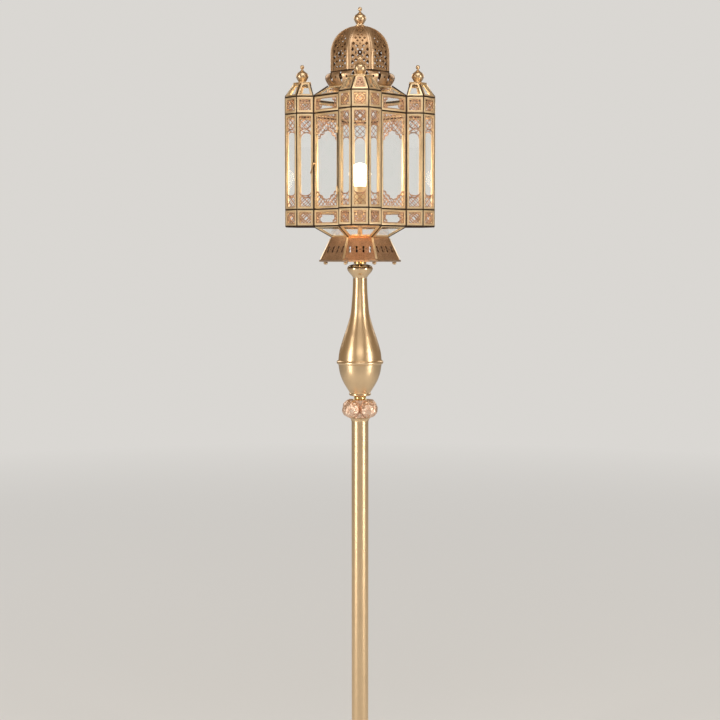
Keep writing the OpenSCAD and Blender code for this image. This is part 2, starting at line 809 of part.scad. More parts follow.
module turret_window_fret() {
    spring = arch_spring_h;
    foot = window_h - spring - 8;
    difference() {
        fret_plate(turret_side, spring, window_h - edge_low);
        translate([0, spring]) circle(r = turret_arch_r);
        holes([for (p = lattice_points(turret_side, spring, window_h - open_low))
            if (norm([p[0], p[1] - spring]) > turret_arch_r + arch_rim + hole / 2) p]);
    }
    // Lower sheet: lattice under a shallow dip
    dip_r = turret_arch_r * 1.3;
    difference() {
        fret_plate(turret_side, edge_low, foot);
        translate([0, foot + dip_r * 0.64]) circle(r = dip_r);
        holes([for (p = lattice_points(turret_side, open_low, foot))
            if (norm([p[0], p[1] - foot - dip_r * 0.64]) > dip_r + arch_rim + hole / 2) p]);
    }
}

// Frieze square of a turret: a diamond with a triangle in each corner and slits between
module turret_frieze_fret() {
    open_w = turret_side / 2 - opening_edge;
    open_h = frieze_h / 2 - open_low;
    mid = min(open_w, open_h);
    translate([0, frieze_h / 2]) difference() {
        translate([0, -frieze_h / 2]) fret_plate(turret_side, edge_low, frieze_h - edge_low);
        rotate([0, 0, 45]) square(mid * 0.72, center = true);
        for (sx = [-1, 1]) for (sy = [-1, 1]) {
            polygon([[sx * open_w * 0.92, sy * open_h * 0.92],
                     [sx * open_w * 0.40, sy * open_h * 0.92],
                     [sx * open_w * 0.92, sy * open_h * 0.40]]);
            translate([sx * open_w * 0.46, sy * open_h * 0.46]) rotate([0, 0, -45 * sx * sy])
                square([mid * 0.62, lattice_bar], center = true);
        }
        for (a = [0 : 90 : 270]) rotate([0, 0, a])
            translate([mid * 0.78, 0]) rotate([0, 0, 45]) square(mid * 0.17, center = true);
    }
}

// Wide panel window: a pointed arch with scalloped edges above, the same turned over below
scallops = 4;
point_h = 26;

// Half width of the arch's opening at a height over its spring
function keel(y, rise, half) = half * (1 - pow(y / rise, 1.15));

module keel_opening(rise, half) {
    scallop_r = rise / scallops * 0.62;
    polygon([[-half, -rise], [half, -rise], [half, 0],
             for (i = [1 : scallops - 1]) [keel(i * rise / scallops, rise, half), i * rise / scallops],
             [0, rise],
             for (i = [scallops - 1 : -1 : 1]) [-keel(i * rise / scallops, rise, half), i * rise / scallops],
             [-half, 0]]);
    for (side = [-1, 1]) for (i = [0.5 : 1 : scallops - 1.4])
        translate([side * (keel(i * rise / scallops, rise, half) - scallop_r * 0.45), i * rise / scallops])
            circle(r = scallop_r);
}

module panel_window_fret() {
    half = panel_w / 2 - opening_edge - 1.5;
    spring = arch_spring_h;
    foot = window_h - arch_spring_h - 8;
    low_rise = point_h * 0.85;
    difference() {
        fret_plate(panel_w, spring, window_h - edge_low);
        translate([0, spring]) keel_opening(point_h, half);
        holes([for (p = lattice_points(panel_w, spring, window_h - open_low))
            if (p[1] - spring > point_h + arch_rim + hole / 2
                || abs(p[0]) > keel(max(p[1] - spring, 0), point_h, half) + arch_rim + hole) p]);
    }
    difference() {
        fret_plate(panel_w, edge_low, foot);
        translate([0, foot]) mirror([0, 1]) keel_opening(low_rise, half);
        holes([for (p = lattice_points(panel_w, open_low, foot))
            if (foot - p[1] > low_rise + arch_rim + hole / 2
                || abs(p[0]) > keel(max(foot - p[1], 0), low_rise, half) + arch_rim + hole) p]);
    }
}

// Frieze of a wide panel: a long cartouche with bracket ends
module panel_frieze_fret() {
    half_w = panel_w / 2 - opening_edge;
    half_h = frieze_h / 2 - open_low;
    end_r = half_h * 0.42;
    difference() {
        fret_plate(panel_w, edge_low, frieze_h - edge_low);
        translate([0, frieze_h / 2]) {
            square([half_w * 1.16, half_h * 1.72], center = true);
            for (side = [-1, 1]) {
                translate([side * half_w * 0.60, 0]) circle(r = end_r);
                for (up = [-1, 1]) {
                    translate([side * half_w * 0.84, up * half_h * 0.62])
                        rotate([0, 0, 45]) square(hole, center = true);
                    translate([side * half_w * 0.70, up * half_h * 0.72])
                        rotate([0, 0, 45]) square(hole * 0.7, center = true);
                }
                translate([side * half_w * 0.86, 0]) rotate([0, 0, 45]) square(hole, center = true);
            }
        }
    }
}

module fret(stage) {
    translate([0, 0, -fret_out - fret_t]) linear_extrude(fret_t) children();
}

module turret_fretwork() {
    color(rose_copper) for (i = [0 : 3]) at_turret_faces(i) {
        for (z = [body_z, head_z]) on_face(turret_apothem, z, turret_apothem, z + frieze_h)
            fret() turret_frieze_fret();
        on_face(turret_apothem, sill_z, turret_apothem, head_z) fret() turret_window_fret();
    }
}

module panel_fretwork() {
    color(rose_copper) for (i = [0 : 3]) rotate([0, 0, 45 + 90 * i]) {
        for (z = [body_z, head_z]) on_face(panel_reach, z, panel_reach, z + frieze_h)
            fret() panel_frieze_fret();
        if (i != door_side)
            on_face(panel_reach, sill_z, panel_reach, head_z) fret() panel_window_fret();
    }
}

// Door: the window stage of the wide panel between the front and left turrets

module at_door() {
    rotate([0, 0, 45 + 90 * door_side]) on_face(panel_reach, sill_z, panel_reach, head_z) children();
}

module door_frame() {
    color(pale_brass) union() {
        at_door() strip_frame(panel_w, panel_w, window_h, end_inset + door_gap,
                              seam / 2 + door_gap, seam / 2 + door_gap);
        for (mid = hinge_mids) at_door() door_knuckles(mid);
    }
}

module door_fretwork() {
    color(rose_copper) at_door() fret() intersection() {
        panel_window_fret();
        translate([-panel_w / 2 + fret_edge + door_gap, edge_low + door_gap])
            square([panel_w - 2 * (fret_edge + door_gap), window_h - 2 * (edge_low + door_gap)]);
    }
}

module door_glass() {
    color(glass_tint) at_door()
        pane(panel_w, panel_w, window_h, end_inset + door_gap, seam / 2 + door_gap, seam / 2 + door_gap);
}

// Hinge line: on the bisector of the corner, outside both faces
hinge_out = knuckle_d / 2 + junction_post_r + 0.35 - junction_post_in;
hinge_x = panel_w / 2 - hinge_out * sin(half_turn);
hinge_y = hinge_out * cos(half_turn);
hinge_mids = [hinge_inset, window_h - hinge_inset];
knuckle_gap = 0.3;
middle_knuckle_h = hinge_h * 0.4;
end_knuckle_h = (hinge_h - middle_knuckle_h) / 2 - knuckle_gap;
leaf_t = 0.9;
leaf_side = end_inset + door_gap + 0.15;

// One knuckle with its leaf, drawn on the door's face: low is its lower end
module knuckle(low, h) {
    difference() {
        union() {
            translate([hinge_x, low, hinge_y]) rotate([-90, 0, 0]) cylinder(d = knuckle_d, h = h);
            translate([panel_w / 2 - leaf_side - leaf_t, low, 0]) cube([leaf_t, h, hinge_y]);
            translate([panel_w / 2 - opening_edge, low, 0])
                cube([opening_edge - leaf_side, h, leaf_t]);
        }
        translate([hinge_x, low - past, hinge_y]) rotate([-90, 0, 0])
            cylinder(d = pin_d + 2 * running_fit, h = h + 2 * past);
    }
}

module door_knuckles(mid) {
    knuckle(mid - hinge_h / 2, end_knuckle_h);
    knuckle(mid + hinge_h / 2 - end_knuckle_h, end_knuckle_h);
}

// The fixed leaf is the door's leaf mirrored in the bisector of the corner
module hinge_brackets() {
    color(pale_brass) for (mid = hinge_mids) at_door()
        translate([panel_w / 2, 0, 0]) rotate([0, -half_turn, 0]) mirror([1, 0, 0]) rotate([0, half_turn, 0])
            translate([-panel_w / 2, 0, touch])
                knuckle(mid - middle_knuckle_h / 2, middle_knuckle_h);
}

module hinge_pins() {
    color(brass) for (mid = hinge_mids) at_door()
        translate([hinge_x, mid - hinge_h / 2 - 0.8, hinge_y]) rotate([-90, 0, 0])
            cylinder(d = pin_d, h = hinge_h + 1.6);
}

// Latch: a hook on the door that drops over a stud on the left turret
latch_x = -panel_w / 2 + end_inset + door_gap + frame_bar / 2 + 0.3;
latch_top = latch_rise;
stud_x = -panel_w / 2 - 2.9;
latch_low = latch_top - latch_drop;
latch_plane = 5;
latch_t = 1.2;
latch_w = 3;
latch_pin_r = 0.9;
stud_r = 0.9;

module latch_hook() {
    reach = norm([latch_x - stud_x, latch_drop]);
    lean = atan2(latch_x - stud_x, latch_drop);
    color(brass) at_door() translate([latch_x, latch_top, latch_plane]) rotate([0, 0, -lean])
        difference() {
            union() {
                cylinder(d = latch_w + 1, h = latch_t);
                translate([-latch_w / 2 + 0.6, -reach - 1.6, 0]) cube([latch_w - 0.6, reach + 1.6, latch_t]);
                translate([0, -reach, 0]) cylinder(d = latch_w + 0.6, h = latch_t);
            }
            translate([0, 0, -past]) cylinder(r = latch_pin_r + running_fit, h = latch_t + 2 * past);
            translate([0, -reach, -past]) cylinder(r = stud_r + 0.15, h = latch_t + 2 * past);
            // Mouth through which the stud leaves the hook
            translate([-latch_w * 2, -reach - stud_r - 0.15, -past])
                cube([latch_w * 2, 2 * stud_r + 0.3, latch_t + 2 * past]);
        }
}

module latch_pivot() {
    color(brass) at_door() translate([latch_x, latch_top, 0]) {
        translate([0, 0, touch]) cylinder(r = 1.7, h = latch_plane - 0.1 - touch);
        translate([0, 0, touch]) cylinder(r = latch_pin_r, h = latch_plane + latch_t + 0.8);
        translate([0, 0, latch_plane + latch_t + 0.1]) cylinder(r = 1.7, h = 0.9);
    }
}

module latch_stud() {
    color(brass) at_door() translate([stud_x, latch_low, 0]) difference() {
        cylinder(r = stud_r, h = latch_plane + latch_t + 1);
        // Cut to the turret's face, which leans away from the door at 45 degrees
        translate([-stud_x - panel_w / 2, 0, 0]) rotate([0, 45, 0])
            translate([-20, -5, -20 + touch]) cube([40, 10, 20]);
    }
}

// Roofs. The wide faces rise from the panels, the narrow ones from the open backs of the turrets.

eave_z = cornice_z + seam / 2 + touch;
function roof_slant(i) = slope(outer_reach(i), eave_z, roof_top_apothem, gallery_z);

module roof_frames() {
    color(pale_brass) for (i = [0 : 7]) rotate([0, 0, 45 * i]) between(eave_z, gallery_z)
        on_face(outer_reach(i), eave_z, roof_top_apothem, gallery_z)
            strip_frame(outer_w(i), roof_top_side, roof_slant(i), end_inset, 0, 0);
}

module roof_panes() {
    color(glass_tint) for (i = [0 : 7]) rotate([0, 0, 45 * i]) between(eave_z, gallery_z)
        on_face(outer_reach(i), eave_z, roof_top_apothem, gallery_z)
            pane(outer_w(i), roof_top_side, roof_slant(i), end_inset, 0, 0);
}

// Turret roofs: five sloping faces and a steep one at the back
turret_slope = slope(turret_apothem, eave_z, cap_apothem, turret_cap_z);
back_low_y = turret_side / 2;
back_high_y = turret_cap_side / 2;

module at_turret_back() {
    translate([0, -turret_reach, 0]) rotate([0, 0, 180])
        on_face(back_low_y - 1, eave_z, back_high_y, turret_cap_z) children();
}

back_slope = slope(back_low_y - 1, eave_z, back_high_y, turret_cap_z);
back_side = frame_depth * 1.1;

module turret_roof_frames() {
    color(pale_brass) for (i = [0 : 3]) {
        at_turret_faces(i) between(eave_z, turret_cap_z)
            on_face(turret_apothem, eave_z, cap_apothem, turret_cap_z)
                strip_frame(turret_side, turret_cap_side, turret_slope, end_inset, 0, 0);
        rotate([0, 0, 90 * i]) between(eave_z, turret_cap_z) at_turret_back()
            strip_frame(2 * turret_apothem, 2 * cap_apothem, back_slope, back_side, 0, 0);
    }
}

module turret_roof_panes() {
    color(glass_tint) for (i = [0 : 3]) {
        at_turret_faces(i) on_face(turret_apothem, eave_z, cap_apothem, turret_cap_z)
            pane(turret_side, turret_cap_side, turret_slope, end_inset, 0, 0);
        rotate([0, 0, 90 * i]) at_turret_back()
            pane(2 * turret_apothem, 2 * cap_apothem, back_slope, back_side, 0, 0);
    }
}

// Only the outward face of a turret's roof is pierced
module turret_roof_fretwork() {
    points = trapezoid(turret_side, turret_cap_side, turret_slope, end_inset + pane_edge,
                       pane_edge, pane_edge);
    color(rose_copper) around(4) translate([0, -turret_reach, 0])
        on_face(turret_apothem, eave_z, cap_apothem, turret_cap_z)
            fret() difference() {
                polygon(points);
                for (row = [0 : 2]) for (i = [-(2 - row) / 2 : 1 : (2 - row) / 2])
                    translate([i * lattice_pitch, turret_slope * (0.30 + row * 0.19)])
                        rotate([0, 0, 45]) square(hole, center = true);
            }
}

// Cap plate on each turret's roof
cap_t = 1.4;
cap_lip = 0.8;

module turret_caps() {
    color(brass) around(4) translate([0, -turret_reach, turret_cap_z + touch]) difference() {
        octagon_plate(cap_apothem + cap_lip, cap_t);
        translate([-turret_side, back_high_y + cap_lip, -past])
            cube([2 * turret_side, turret_side, cap_t + 2 * past]);
    }
}

// Finial: a foot, an onion drawn up to a slim neck, and a ball
finial_ball_r = 4.3;
finial_neck_r = 1.9;

function finial_outline() = let (
    neck_top = finial_h - 2 * finial_ball_r + 0.4,
    ball = finial_h - finial_ball_r,
    start = asin(finial_neck_r / finial_ball_r)
) concat(
    [[0, 0]],
    curve([[7.6, 0], [7.2, finial_h * 0.06], [8.8, finial_h * 0.14], [finial_r * 0.94, finial_h * 0.29],
           [finial_r, finial_h * 0.40], [finial_r * 0.84, finial_h * 0.53],
           [finial_r * 0.45, finial_h * 0.64], [finial_neck_r + 0.7, finial_h * 0.72],
           [finial_neck_r, neck_top]], 4),
    [for (k = [1 : 8]) let (a = start + (180 - start) * k / 8)
        [finial_ball_r * sin(a), ball - finial_ball_r * cos(a)]]
);

module finial() {
    rotate_extrude() polygon(finial_outline());
}

cap_middle = turret_reach + (cap_apothem - back_high_y) / 2;

module turret_finials() {
    color(brass) around(4) translate([0, -cap_middle, turret_cap_z + cap_t + 2 * touch]) finial();
}

// Gallery: a bulging band with lens openings, so that upright slats are left between them
gallery_t = 1;
gallery_ring_t = 1.2;
dot_hole_r = 2;

function gallery_outline() = curve([
    [gallery_r, gallery_z], [gallery_bulge_r - 3.4, gallery_z + gallery_h * 0.34],
    [gallery_bulge_r, gallery_z + gallery_h * 0.62], [gallery_bulge_r - 2.6, gallery_z + gallery_h * 0.84],
    [dome_r + 1, dome_z - gallery_ring_t]], 5);

lens_w = 7;
lens_h = gallery_h - 7;

// A pointed lens: two arcs that meet above and below
module lens(w, h) {
    r = (w * w / 4 + h * h / 4) / w;
    intersection() {
        translate([r - w / 2, 0]) circle(r = r);
        translate([-(r - w / 2), 0]) circle(r = r);
    }
}

module gallery() {
    color(brass) difference() {
        union() {
            spun_shell(gallery_outline(), gallery_t);
            translate([0, 0, gallery_z + touch]) tube(gallery_r - gallery_t / 2, gallery_r - 9, gallery_ring_t);
        }
        around(gallery_slats, 180 / gallery_slats)
            translate([0, -gallery_r + 8, gallery_z + gallery_h * 0.52]) rotate([90, 0, 0])
                linear_extrude(gallery_bulge_r - gallery_r + 16) lens(lens_w, lens_h);
        around(gallery_slats)
            translate([0, -gallery_r + 8, gallery_z + gallery_h * 0.5]) rotate([90, 0, 0])
                cylinder(r = dot_hole_r, h = gallery_bulge_r);
    }
}

// Dome ring: an octagonal plate between gallery and dome
dome_ring_w = 9;
dome_ring_out = 1.6;

module dome_ring() {
    color(seam_dark) translate([0, 0, dome_z - gallery_ring_t + touch])
        octagon_ring(dome_r + dome_ring_out, dome_ring_w, gallery_ring_t);
}

// One gore: upright sheet, then a quarter circle up to the crown
cap_disc_r = 10;
cap_disc_t = 1.4;

gore_steps = 15;
function gore_outline(r) = concat(
    [[r, 0]],
    [for (k = [0 : gore_steps]) let (a = 86 * k / gore_steps) [r * cos(a), drum_h + r * sin(a)]]
);

module gore_sheet() {
    rotate([90, 0, -90]) translate([0, 0, -dome_r * 0.6]) linear_extrude(dome_r * 1.2)
        polygon(concat(gore_outline(dome_r), reversed(gore_outline(dome_r - dome_t))));
}

// The gore's share of the plan, held back from the ribs on both sides
module gore_wedge() {
    tip = (rib_w / 2 + touch) / sin(half_turn);
    far = 2 * dome_r;
    translate([0, 0, -past]) linear_extrude(drum_h + dome_r + 2 * past)
        polygon([[0, -tip], [far * tan(half_turn), -tip - far], [-far * tan(half_turn), -tip - far]]);
}

// A drill through the gore: x across, rise measured along the sheet from the foot of the dome
module drill(x, rise, r, sides) {
    arc = max(rise - drum_h, 0) / dome_r * 180 / PI;
    translate([x, 0, min(rise, drum_h)]) rotate([90 - arc, 0, 0])
        translate([0, 0, dome_r - 6]) cylinder(r = r, h = 12, $fn = sides);
}

rosette_rise = 31;
rosette_r = 14.5;

module gore_holes() {
    drill(0, rosette_rise, 3.6, 32);
    for (k = [0 : 7])
        drill(rosette_r * sin(45 * k + 22.5), rosette_rise + rosette_r * cos(45 * k + 22.5), 2.1, 4);
    for (k = [0 : 7])
        drill(rosette_r * 0.60 * sin(45 * k), rosette_rise + rosette_r * 0.60 * cos(45 * k), 1.3, 4);
    for (side = [-1, 1]) {
        drill(side * 15.5, 8, 2.0, 4);
        drill(side * 9, 6.5, 1.6, 4);
        drill(side * 14.5, rosette_rise + 22, 1.7, 4);
        drill(side * 5.5, rosette_rise + 26, 2.0, 4);
        drill(side * 7, rosette_rise + 37, 1.5, 4);
        drill(side * 4, rosette_rise + 52, 1.5, 4);
    }
    drill(0, rosette_rise + 32, 1.7, 4);
    drill(0, rosette_rise + 43, 2.2, 3);
}

module dome_gores() {
    color(rose_copper) translate([0, 0, dome_z + 2 * touch]) around(8) difference() {
        intersection() {
            gore_sheet();
            gore_wedge();
        }
        gore_holes();
    }
}

// Ribs over the edges where the gores meet: the edge is the gore's circle seen from the corner
rib_t = 2.2;
rib_steps = 11;
function rib_outline(out) = concat(
    [[(dome_r + out) / cos(half_turn), 0]],
    [for (k = [0 : rib_steps]) let (a = rib_end * k / rib_steps)
        [(dome_r + out) * cos(a) / cos(half_turn), drum_h + (dome_r + out) * sin(a)]]
);

module dome_ribs() {
    color(pale_brass) translate([0, 0, dome_z + 2 * touch]) around(8, half_turn)
        rotate([90, 0, -90]) translate([0, 0, -rib_w / 2])
            linear_extrude(rib_w) polygon(concat(rib_outline(rib_out), reversed(rib_outline(rib_out - rib_t))));
}

module dome_finial() {
    color(brass) translate([0, 0, crown_z]) union() {
        cylinder(r = cap_disc_r, h = cap_disc_t);
        translate([0, 0, cap_disc_t]) finial();
    }
}

// Lamp holder and bulb

holder_r = holder_d / 2;
cap_r = cap_d / 2;
holder_low_z = tie_top_z - 7;
shell_low_z = holder_low_z + 13;
shell_top_z = bulb_z - bulb_d / 2 - 3;
cap_low_z = shell_low_z + 5;

module holder_cap() {
    color(brass) difference() {
        rotate_extrude() polygon(concat(
            [[0, holder_low_z]],
            curve([[9, holder_low_z], [holder_r - 3, holder_low_z + 4.5], [holder_r, shell_low_z]], 5),
            [[holder_r - 2, shell_low_z], [0, holder_low_z + 9]]));
        translate([0, 0, holder_low_z - past]) cylinder(r = tie_d / 2 + slip_fit, h = 20);
    }
}

module holder_shell() {
    color(brass) difference() {
        translate([0, 0, shell_low_z + touch]) union() {
            cylinder(r = holder_r, h = shell_top_z - shell_low_z);
            translate([0, 0, (shell_top_z - shell_low_z) * 0.62]) tube(holder_r + 1.4, holder_r - 1, 4);
        }
        translate([0, 0, cap_low_z - 1]) cylinder(r = cap_r + running_fit, h = holder_d);
        translate([0, 0, shell_low_z - past]) cylinder(r = 6, h = 20);
    }
}

module bulb_cap() {
    color("silver") union() {
        translate([0, 0, cap_low_z]) cylinder(r = cap_r, h = shell_top_z - cap_low_z - 1);
        translate([0, 0, cap_low_z - 0.8]) cylinder(r = 5, h = 1);
    }
}

function bulb_outline() = let (r = bulb_d / 2, neck_r = cap_r - 1.2, low = -asin(neck_r / r)) concat(
    [[0, shell_top_z - 1 + touch], [neck_r, shell_top_z - 1 + touch]],
    [for (k = [0 : 14]) let (a = (180 + low) - k * (180 + low) / 14)
        [r * sin(a), bulb_z + r * cos(a)]]
);

module bulb_globe() {
    color([1, 0.96, 0.85]) rotate_extrude() polygon(bulb_outline());
}

base_felt();
base_weight();
base_cover();
base_nut();
cord_bush();
pole_foot();
pole_tube();
pole_cup();
carved_ring();
neck_spacer();
vase_lower();
vase_band();
vase_upper();
vase_collar();
lantern_sleeve();
tie_tube();
inner_lead();
seat_bridge();
seat_nuts();
skirt_panels();
skirt_arrises();
skirt_rim();
ball_feet();
lower_frames();
lower_panes();
turret_floors();
front_turret_frames();
right_turret_frames();
back_turret_frames();
left_turret_frames();
turret_fretwork();
panel_frames();
panel_fretwork();
window_panes();
corner_posts();
seam_bands();
door_frame();
door_fretwork();
door_glass();
hinge_brackets();
hinge_pins();
latch_hook();
latch_pivot();
latch_stud();
turret_roof_frames();
turret_roof_panes();
turret_roof_fretwork();
turret_caps();
turret_finials();
roof_frames();
roof_panes();
gallery();
dome_ring();
dome_gores();
dome_ribs();
dome_finial();
holder_cap();
holder_shell();
bulb_cap();
bulb_globe();
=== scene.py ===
# Lantern floor lamp, dressed for the picture. Metres, +Z up, the lamp faces -Y.
import math

import bpy
from mathutils import Matrix, Vector


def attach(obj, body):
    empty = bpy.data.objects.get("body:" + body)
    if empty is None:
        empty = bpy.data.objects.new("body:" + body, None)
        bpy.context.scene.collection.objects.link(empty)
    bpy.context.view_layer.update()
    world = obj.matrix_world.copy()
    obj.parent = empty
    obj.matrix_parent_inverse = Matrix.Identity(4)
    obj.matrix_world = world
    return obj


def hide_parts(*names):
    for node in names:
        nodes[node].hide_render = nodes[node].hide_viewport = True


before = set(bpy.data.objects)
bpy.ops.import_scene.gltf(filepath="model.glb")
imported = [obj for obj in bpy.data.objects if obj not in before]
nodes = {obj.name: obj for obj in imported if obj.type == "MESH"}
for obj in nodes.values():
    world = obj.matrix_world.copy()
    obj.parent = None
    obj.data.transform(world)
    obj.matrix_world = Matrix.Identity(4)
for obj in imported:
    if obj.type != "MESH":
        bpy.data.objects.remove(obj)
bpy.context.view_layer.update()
print("frame loaded:", len(nodes), "nodes")


def deselectAll():
    if bpy.context.object and bpy.context.object.mode != "OBJECT":
        bpy.ops.object.mode_set(mode="OBJECT")
    bpy.ops.object.select_all(action="DESELECT")


def selectOnly(piece):
    deselectAll()
    piece.select_set(True)
    bpy.context.view_layer.objects.active = piece


def joinPieces(pieces, name):
    deselectAll()
    for piece in pieces:
        piece.select_set(True)
    bpy.context.view_layer.objects.active = pieces[0]
    if len(pieces) > 1:
        bpy.ops.object.join()
    whole = bpy.context.object
    whole.name = name
    return whole


def deleteSelectedFaces():
    bpy.ops.object.mode_set(mode="EDIT")
    bpy.ops.mesh.select_mode(type="FACE")
    bpy.ops.mesh.delete(type="FACE")
    bpy.ops.object.mode_set(mode="OBJECT")


def turnFacesOut():
    bpy.ops.object.mode_set(mode="EDIT")
    bpy.ops.mesh.select_all(action="SELECT")
    bpy.ops.mesh.normals_make_consistent(inside=False)
    bpy.ops.object.mode_set(mode="OBJECT")


def joinBody(piece, bodyName, slotName, *nodeNames):
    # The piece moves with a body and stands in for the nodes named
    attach(piece, bodyName)
    if nodeNames:
        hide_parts(*nodeNames)


# Node trees

def clearTree(holder):
    holder.use_nodes = True
    holder.node_tree.nodes.clear()
    return holder.node_tree


def addNode(tree, kind, *inputs, **settings):
    # inputs: socket, and the value or the other node's output that goes into it
    node = tree.nodes.new("ShaderNode" + kind)
    for name, value in settings.items():
        setattr(node, name, value)
    for socket, value in inputs:
        if isinstance(value, bpy.types.NodeSocket):
            tree.links.new(value, node.inputs[socket])
        else:
            node.inputs[socket].default_value = value
    return node


def mathNode(tree, operation, a, b, clamp=False):
    return addNode(tree, "Math", (0, a), (1, b), operation=operation, use_clamp=clamp).outputs[0]


def mixColour(tree, fac, a, b):
    node = addNode(tree, "Mix", data_type="RGBA", clamp_factor=True)
    for socket, value in ((node.inputs[0], fac), (node.inputs[6], a), (node.inputs[7], b)):
        if isinstance(value, bpy.types.NodeSocket):
            tree.links.new(value, socket)
        else:
            socket.default_value = value
    return node.outputs[2]


def noiseNode(tree, vector, scale, detail, rough):
    node = addNode(tree, "TexNoise", ("Vector", vector), ("Scale", scale), ("Detail", detail),
                   ("Roughness", rough))
    return node.outputs["Fac"]


def rampNode(tree, fac, stops):
    node = addNode(tree, "ValToRGB", ("Fac", fac))
    ramp = node.color_ramp
    while len(ramp.elements) < len(stops):
        ramp.elements.new(0.5)
    for element, (place, value) in zip(ramp.elements, stops):
        element.position = place
        element.color = (value, value, value, 1.0) if isinstance(value, float) else value
    return node.outputs["Color"]


# Camera, floor and lamps

view = {
    # focal length in pixels of the picture
    "focalPixels": 1330.0, "pictureWidth": 720.0, "sensorWidth": 36.0,
    "spot": (0.0, -2.753, 1.1366), "downDegrees": 4.30, "nearest": 0.05, "farthest": 60.0,
}

cameraData = bpy.data.cameras.new("pictureCamera")
cameraData.sensor_fit = "HORIZONTAL"
cameraData.sensor_width = view["sensorWidth"]
cameraData.lens = view["focalPixels"] * view["sensorWidth"] / view["pictureWidth"]
cameraData.clip_start = view["nearest"]
cameraData.clip_end = view["farthest"]
camera = bpy.data.objects.new("pictureCamera", cameraData)
bpy.context.scene.collection.objects.link(camera)
camera.location = view["spot"]
camera.rotation_euler = (math.radians(90.0 - view["downDegrees"]), 0.0, 0.0)
bpy.context.scene.camera = camera
bpy.context.scene.view_settings.view_transform = "Standard"

studio = {
    "floorSize": 24.0, "floorColour": (0.72, 0.70, 0.67, 1.0), "backColour": (0.70, 0.68, 0.65, 1.0),
    # light that fills the room, and the tone that polished metal mirrors instead of the back
    "fillColour": (0.93, 0.90, 0.86, 1.0), "fillStrength": 0.50,
    "mirrorColour": (0.88, 0.68, 0.47, 1.0), "mirrorStrength": 0.34,
    # share of the back's own tone in the floor, from near the lamp to far away
    "nearShare": 0.35, "nearReach": 0.8, "farReach": 5.5,
}

skirtSpot = {
    "watts": 20.0, "colour": (1.0, 0.40, 0.10), "degrees": 6.5, "softEdge": 0.5, "radius": 0.01,
    "place": (0.0, -0.75, 1.06), "aim": (0.0, -0.069, 1.160),
}


def aimLamp(lamp, place, aim):
    bpy.context.scene.collection.objects.link(lamp)
    lamp.location = place
    lamp.rotation_euler = (Vector(aim) - Vector(place)).to_track_quat("-Z", "Y").to_euler()
    lamp.visible_transmission = False


def addFloor():
    # A matt floor that fades into the back's tone where the camera sees it far away
    deselectAll()
    bpy.ops.mesh.primitive_plane_add(size=studio["floorSize"], location=(0, 0, 0))
    floor = bpy.context.object
    floor.name = "studioFloor"
    mat = bpy.data.materials.new("studioFloor")
    tree = clearTree(mat)
    coords = addNode(tree, "TexCoord")
    path = addNode(tree, "LightPath")
    away = addNode(tree, "VectorMath", (0, coords.outputs["Object"]), operation="LENGTH")
    blend = addNode(tree, "MapRange", ("Value", away.outputs["Value"]), ("From Min", studio["nearReach"]),
                    ("From Max", studio["farReach"]), ("To Min", studio["nearShare"]))
    share = mathNode(tree, "MULTIPLY", path.outputs["Is Camera Ray"], blend.outputs[0])
    matte = addNode(tree, "BsdfDiffuse", ("Color", studio["floorColour"]))
    glow = addNode(tree, "Emission", ("Color", studio["backColour"]))
    mix = addNode(tree, "MixShader", ("Fac", share), (1, matte.outputs[0]), (2, glow.outputs[0]))
    addNode(tree, "OutputMaterial", ("Surface", mix.outputs[0]))
    floor.data.materials.append(mat)


def addWorld():
    # The camera and the glass see the pale back, metal mirrors a warmer tone, the rest is fill
    world = bpy.data.worlds.new("studioWorld")
    tree = clearTree(world)
    path = addNode(tree, "LightPath")
    seen = addNode(tree, "Background", ("Color", studio["backColour"]), ("Strength", 1.0))
    fill = addNode(tree, "Background", ("Color", studio["fillColour"]), ("Strength", studio["fillStrength"]))
    mirrored = addNode(tree, "Background", ("Color", studio["mirrorColour"]),
                       ("Strength", studio["mirrorStrength"]))
    unseen = addNode(tree, "MixShader", ("Fac", path.outputs["Is Glossy Ray"]), (1, fill.outputs[0]),
                     (2, mirrored.outputs[0]))
    either = mathNode(tree, "MAXIMUM", path.outputs["Is Camera Ray"], path.outputs["Is Transmission Ray"])
    mix = addNode(tree, "MixShader", ("Fac", either), (1, unseen.outputs[0]), (2, seen.outputs[0]))
    addNode(tree, "OutputWorld", ("Surface", mix.outputs[0]))
    bpy.context.scene.world = world


studioLamps = [
    # name, place, aimed at, width, height, watts, colour
    ("tallLeft", (-2.1, -1.47, 1.10), (0, 0, 1.0), 0.42, 2.2, 27.0, (1.0, 0.93, 0.84)),
    ("tallRight", (2.1, -1.47, 1.10), (0, 0, 1.0), 0.42, 2.2, 26.0, (1.0, 0.93, 0.84)),
    ("frontSoft", (0.0, -4.2, 2.4), (0, 0, 1.2), 2.6, 1.4, 20.0, (1.0, 0.94, 0.86)),
    ("overhead", (0.2, -1.2, 3.2), (0, 0, 1.3), 1.8, 1.2, 18.0, (1.0, 0.97, 0.93)),
    ("backLeft", (-1.8, 2.4, 2.3), (0, 0, 1.2), 0.8, 1.6, 11.0, (1.0, 0.97, 0.93)),
    ("backRight", (1.8, 2.4, 2.3), (0, 0, 1.2), 0.8, 1.6, 10.0, (1.0, 0.97, 0.93)),
]


def addArea(name, place, aim, width, height, watts, colour):
    data = bpy.data.lights.new(name, "AREA")
    data.shape = "RECTANGLE"
    data.size, data.size_y = width, height
    data.energy = watts
    data.color = colour
    aimLamp(bpy.data.objects.new(name, data), place, aim)


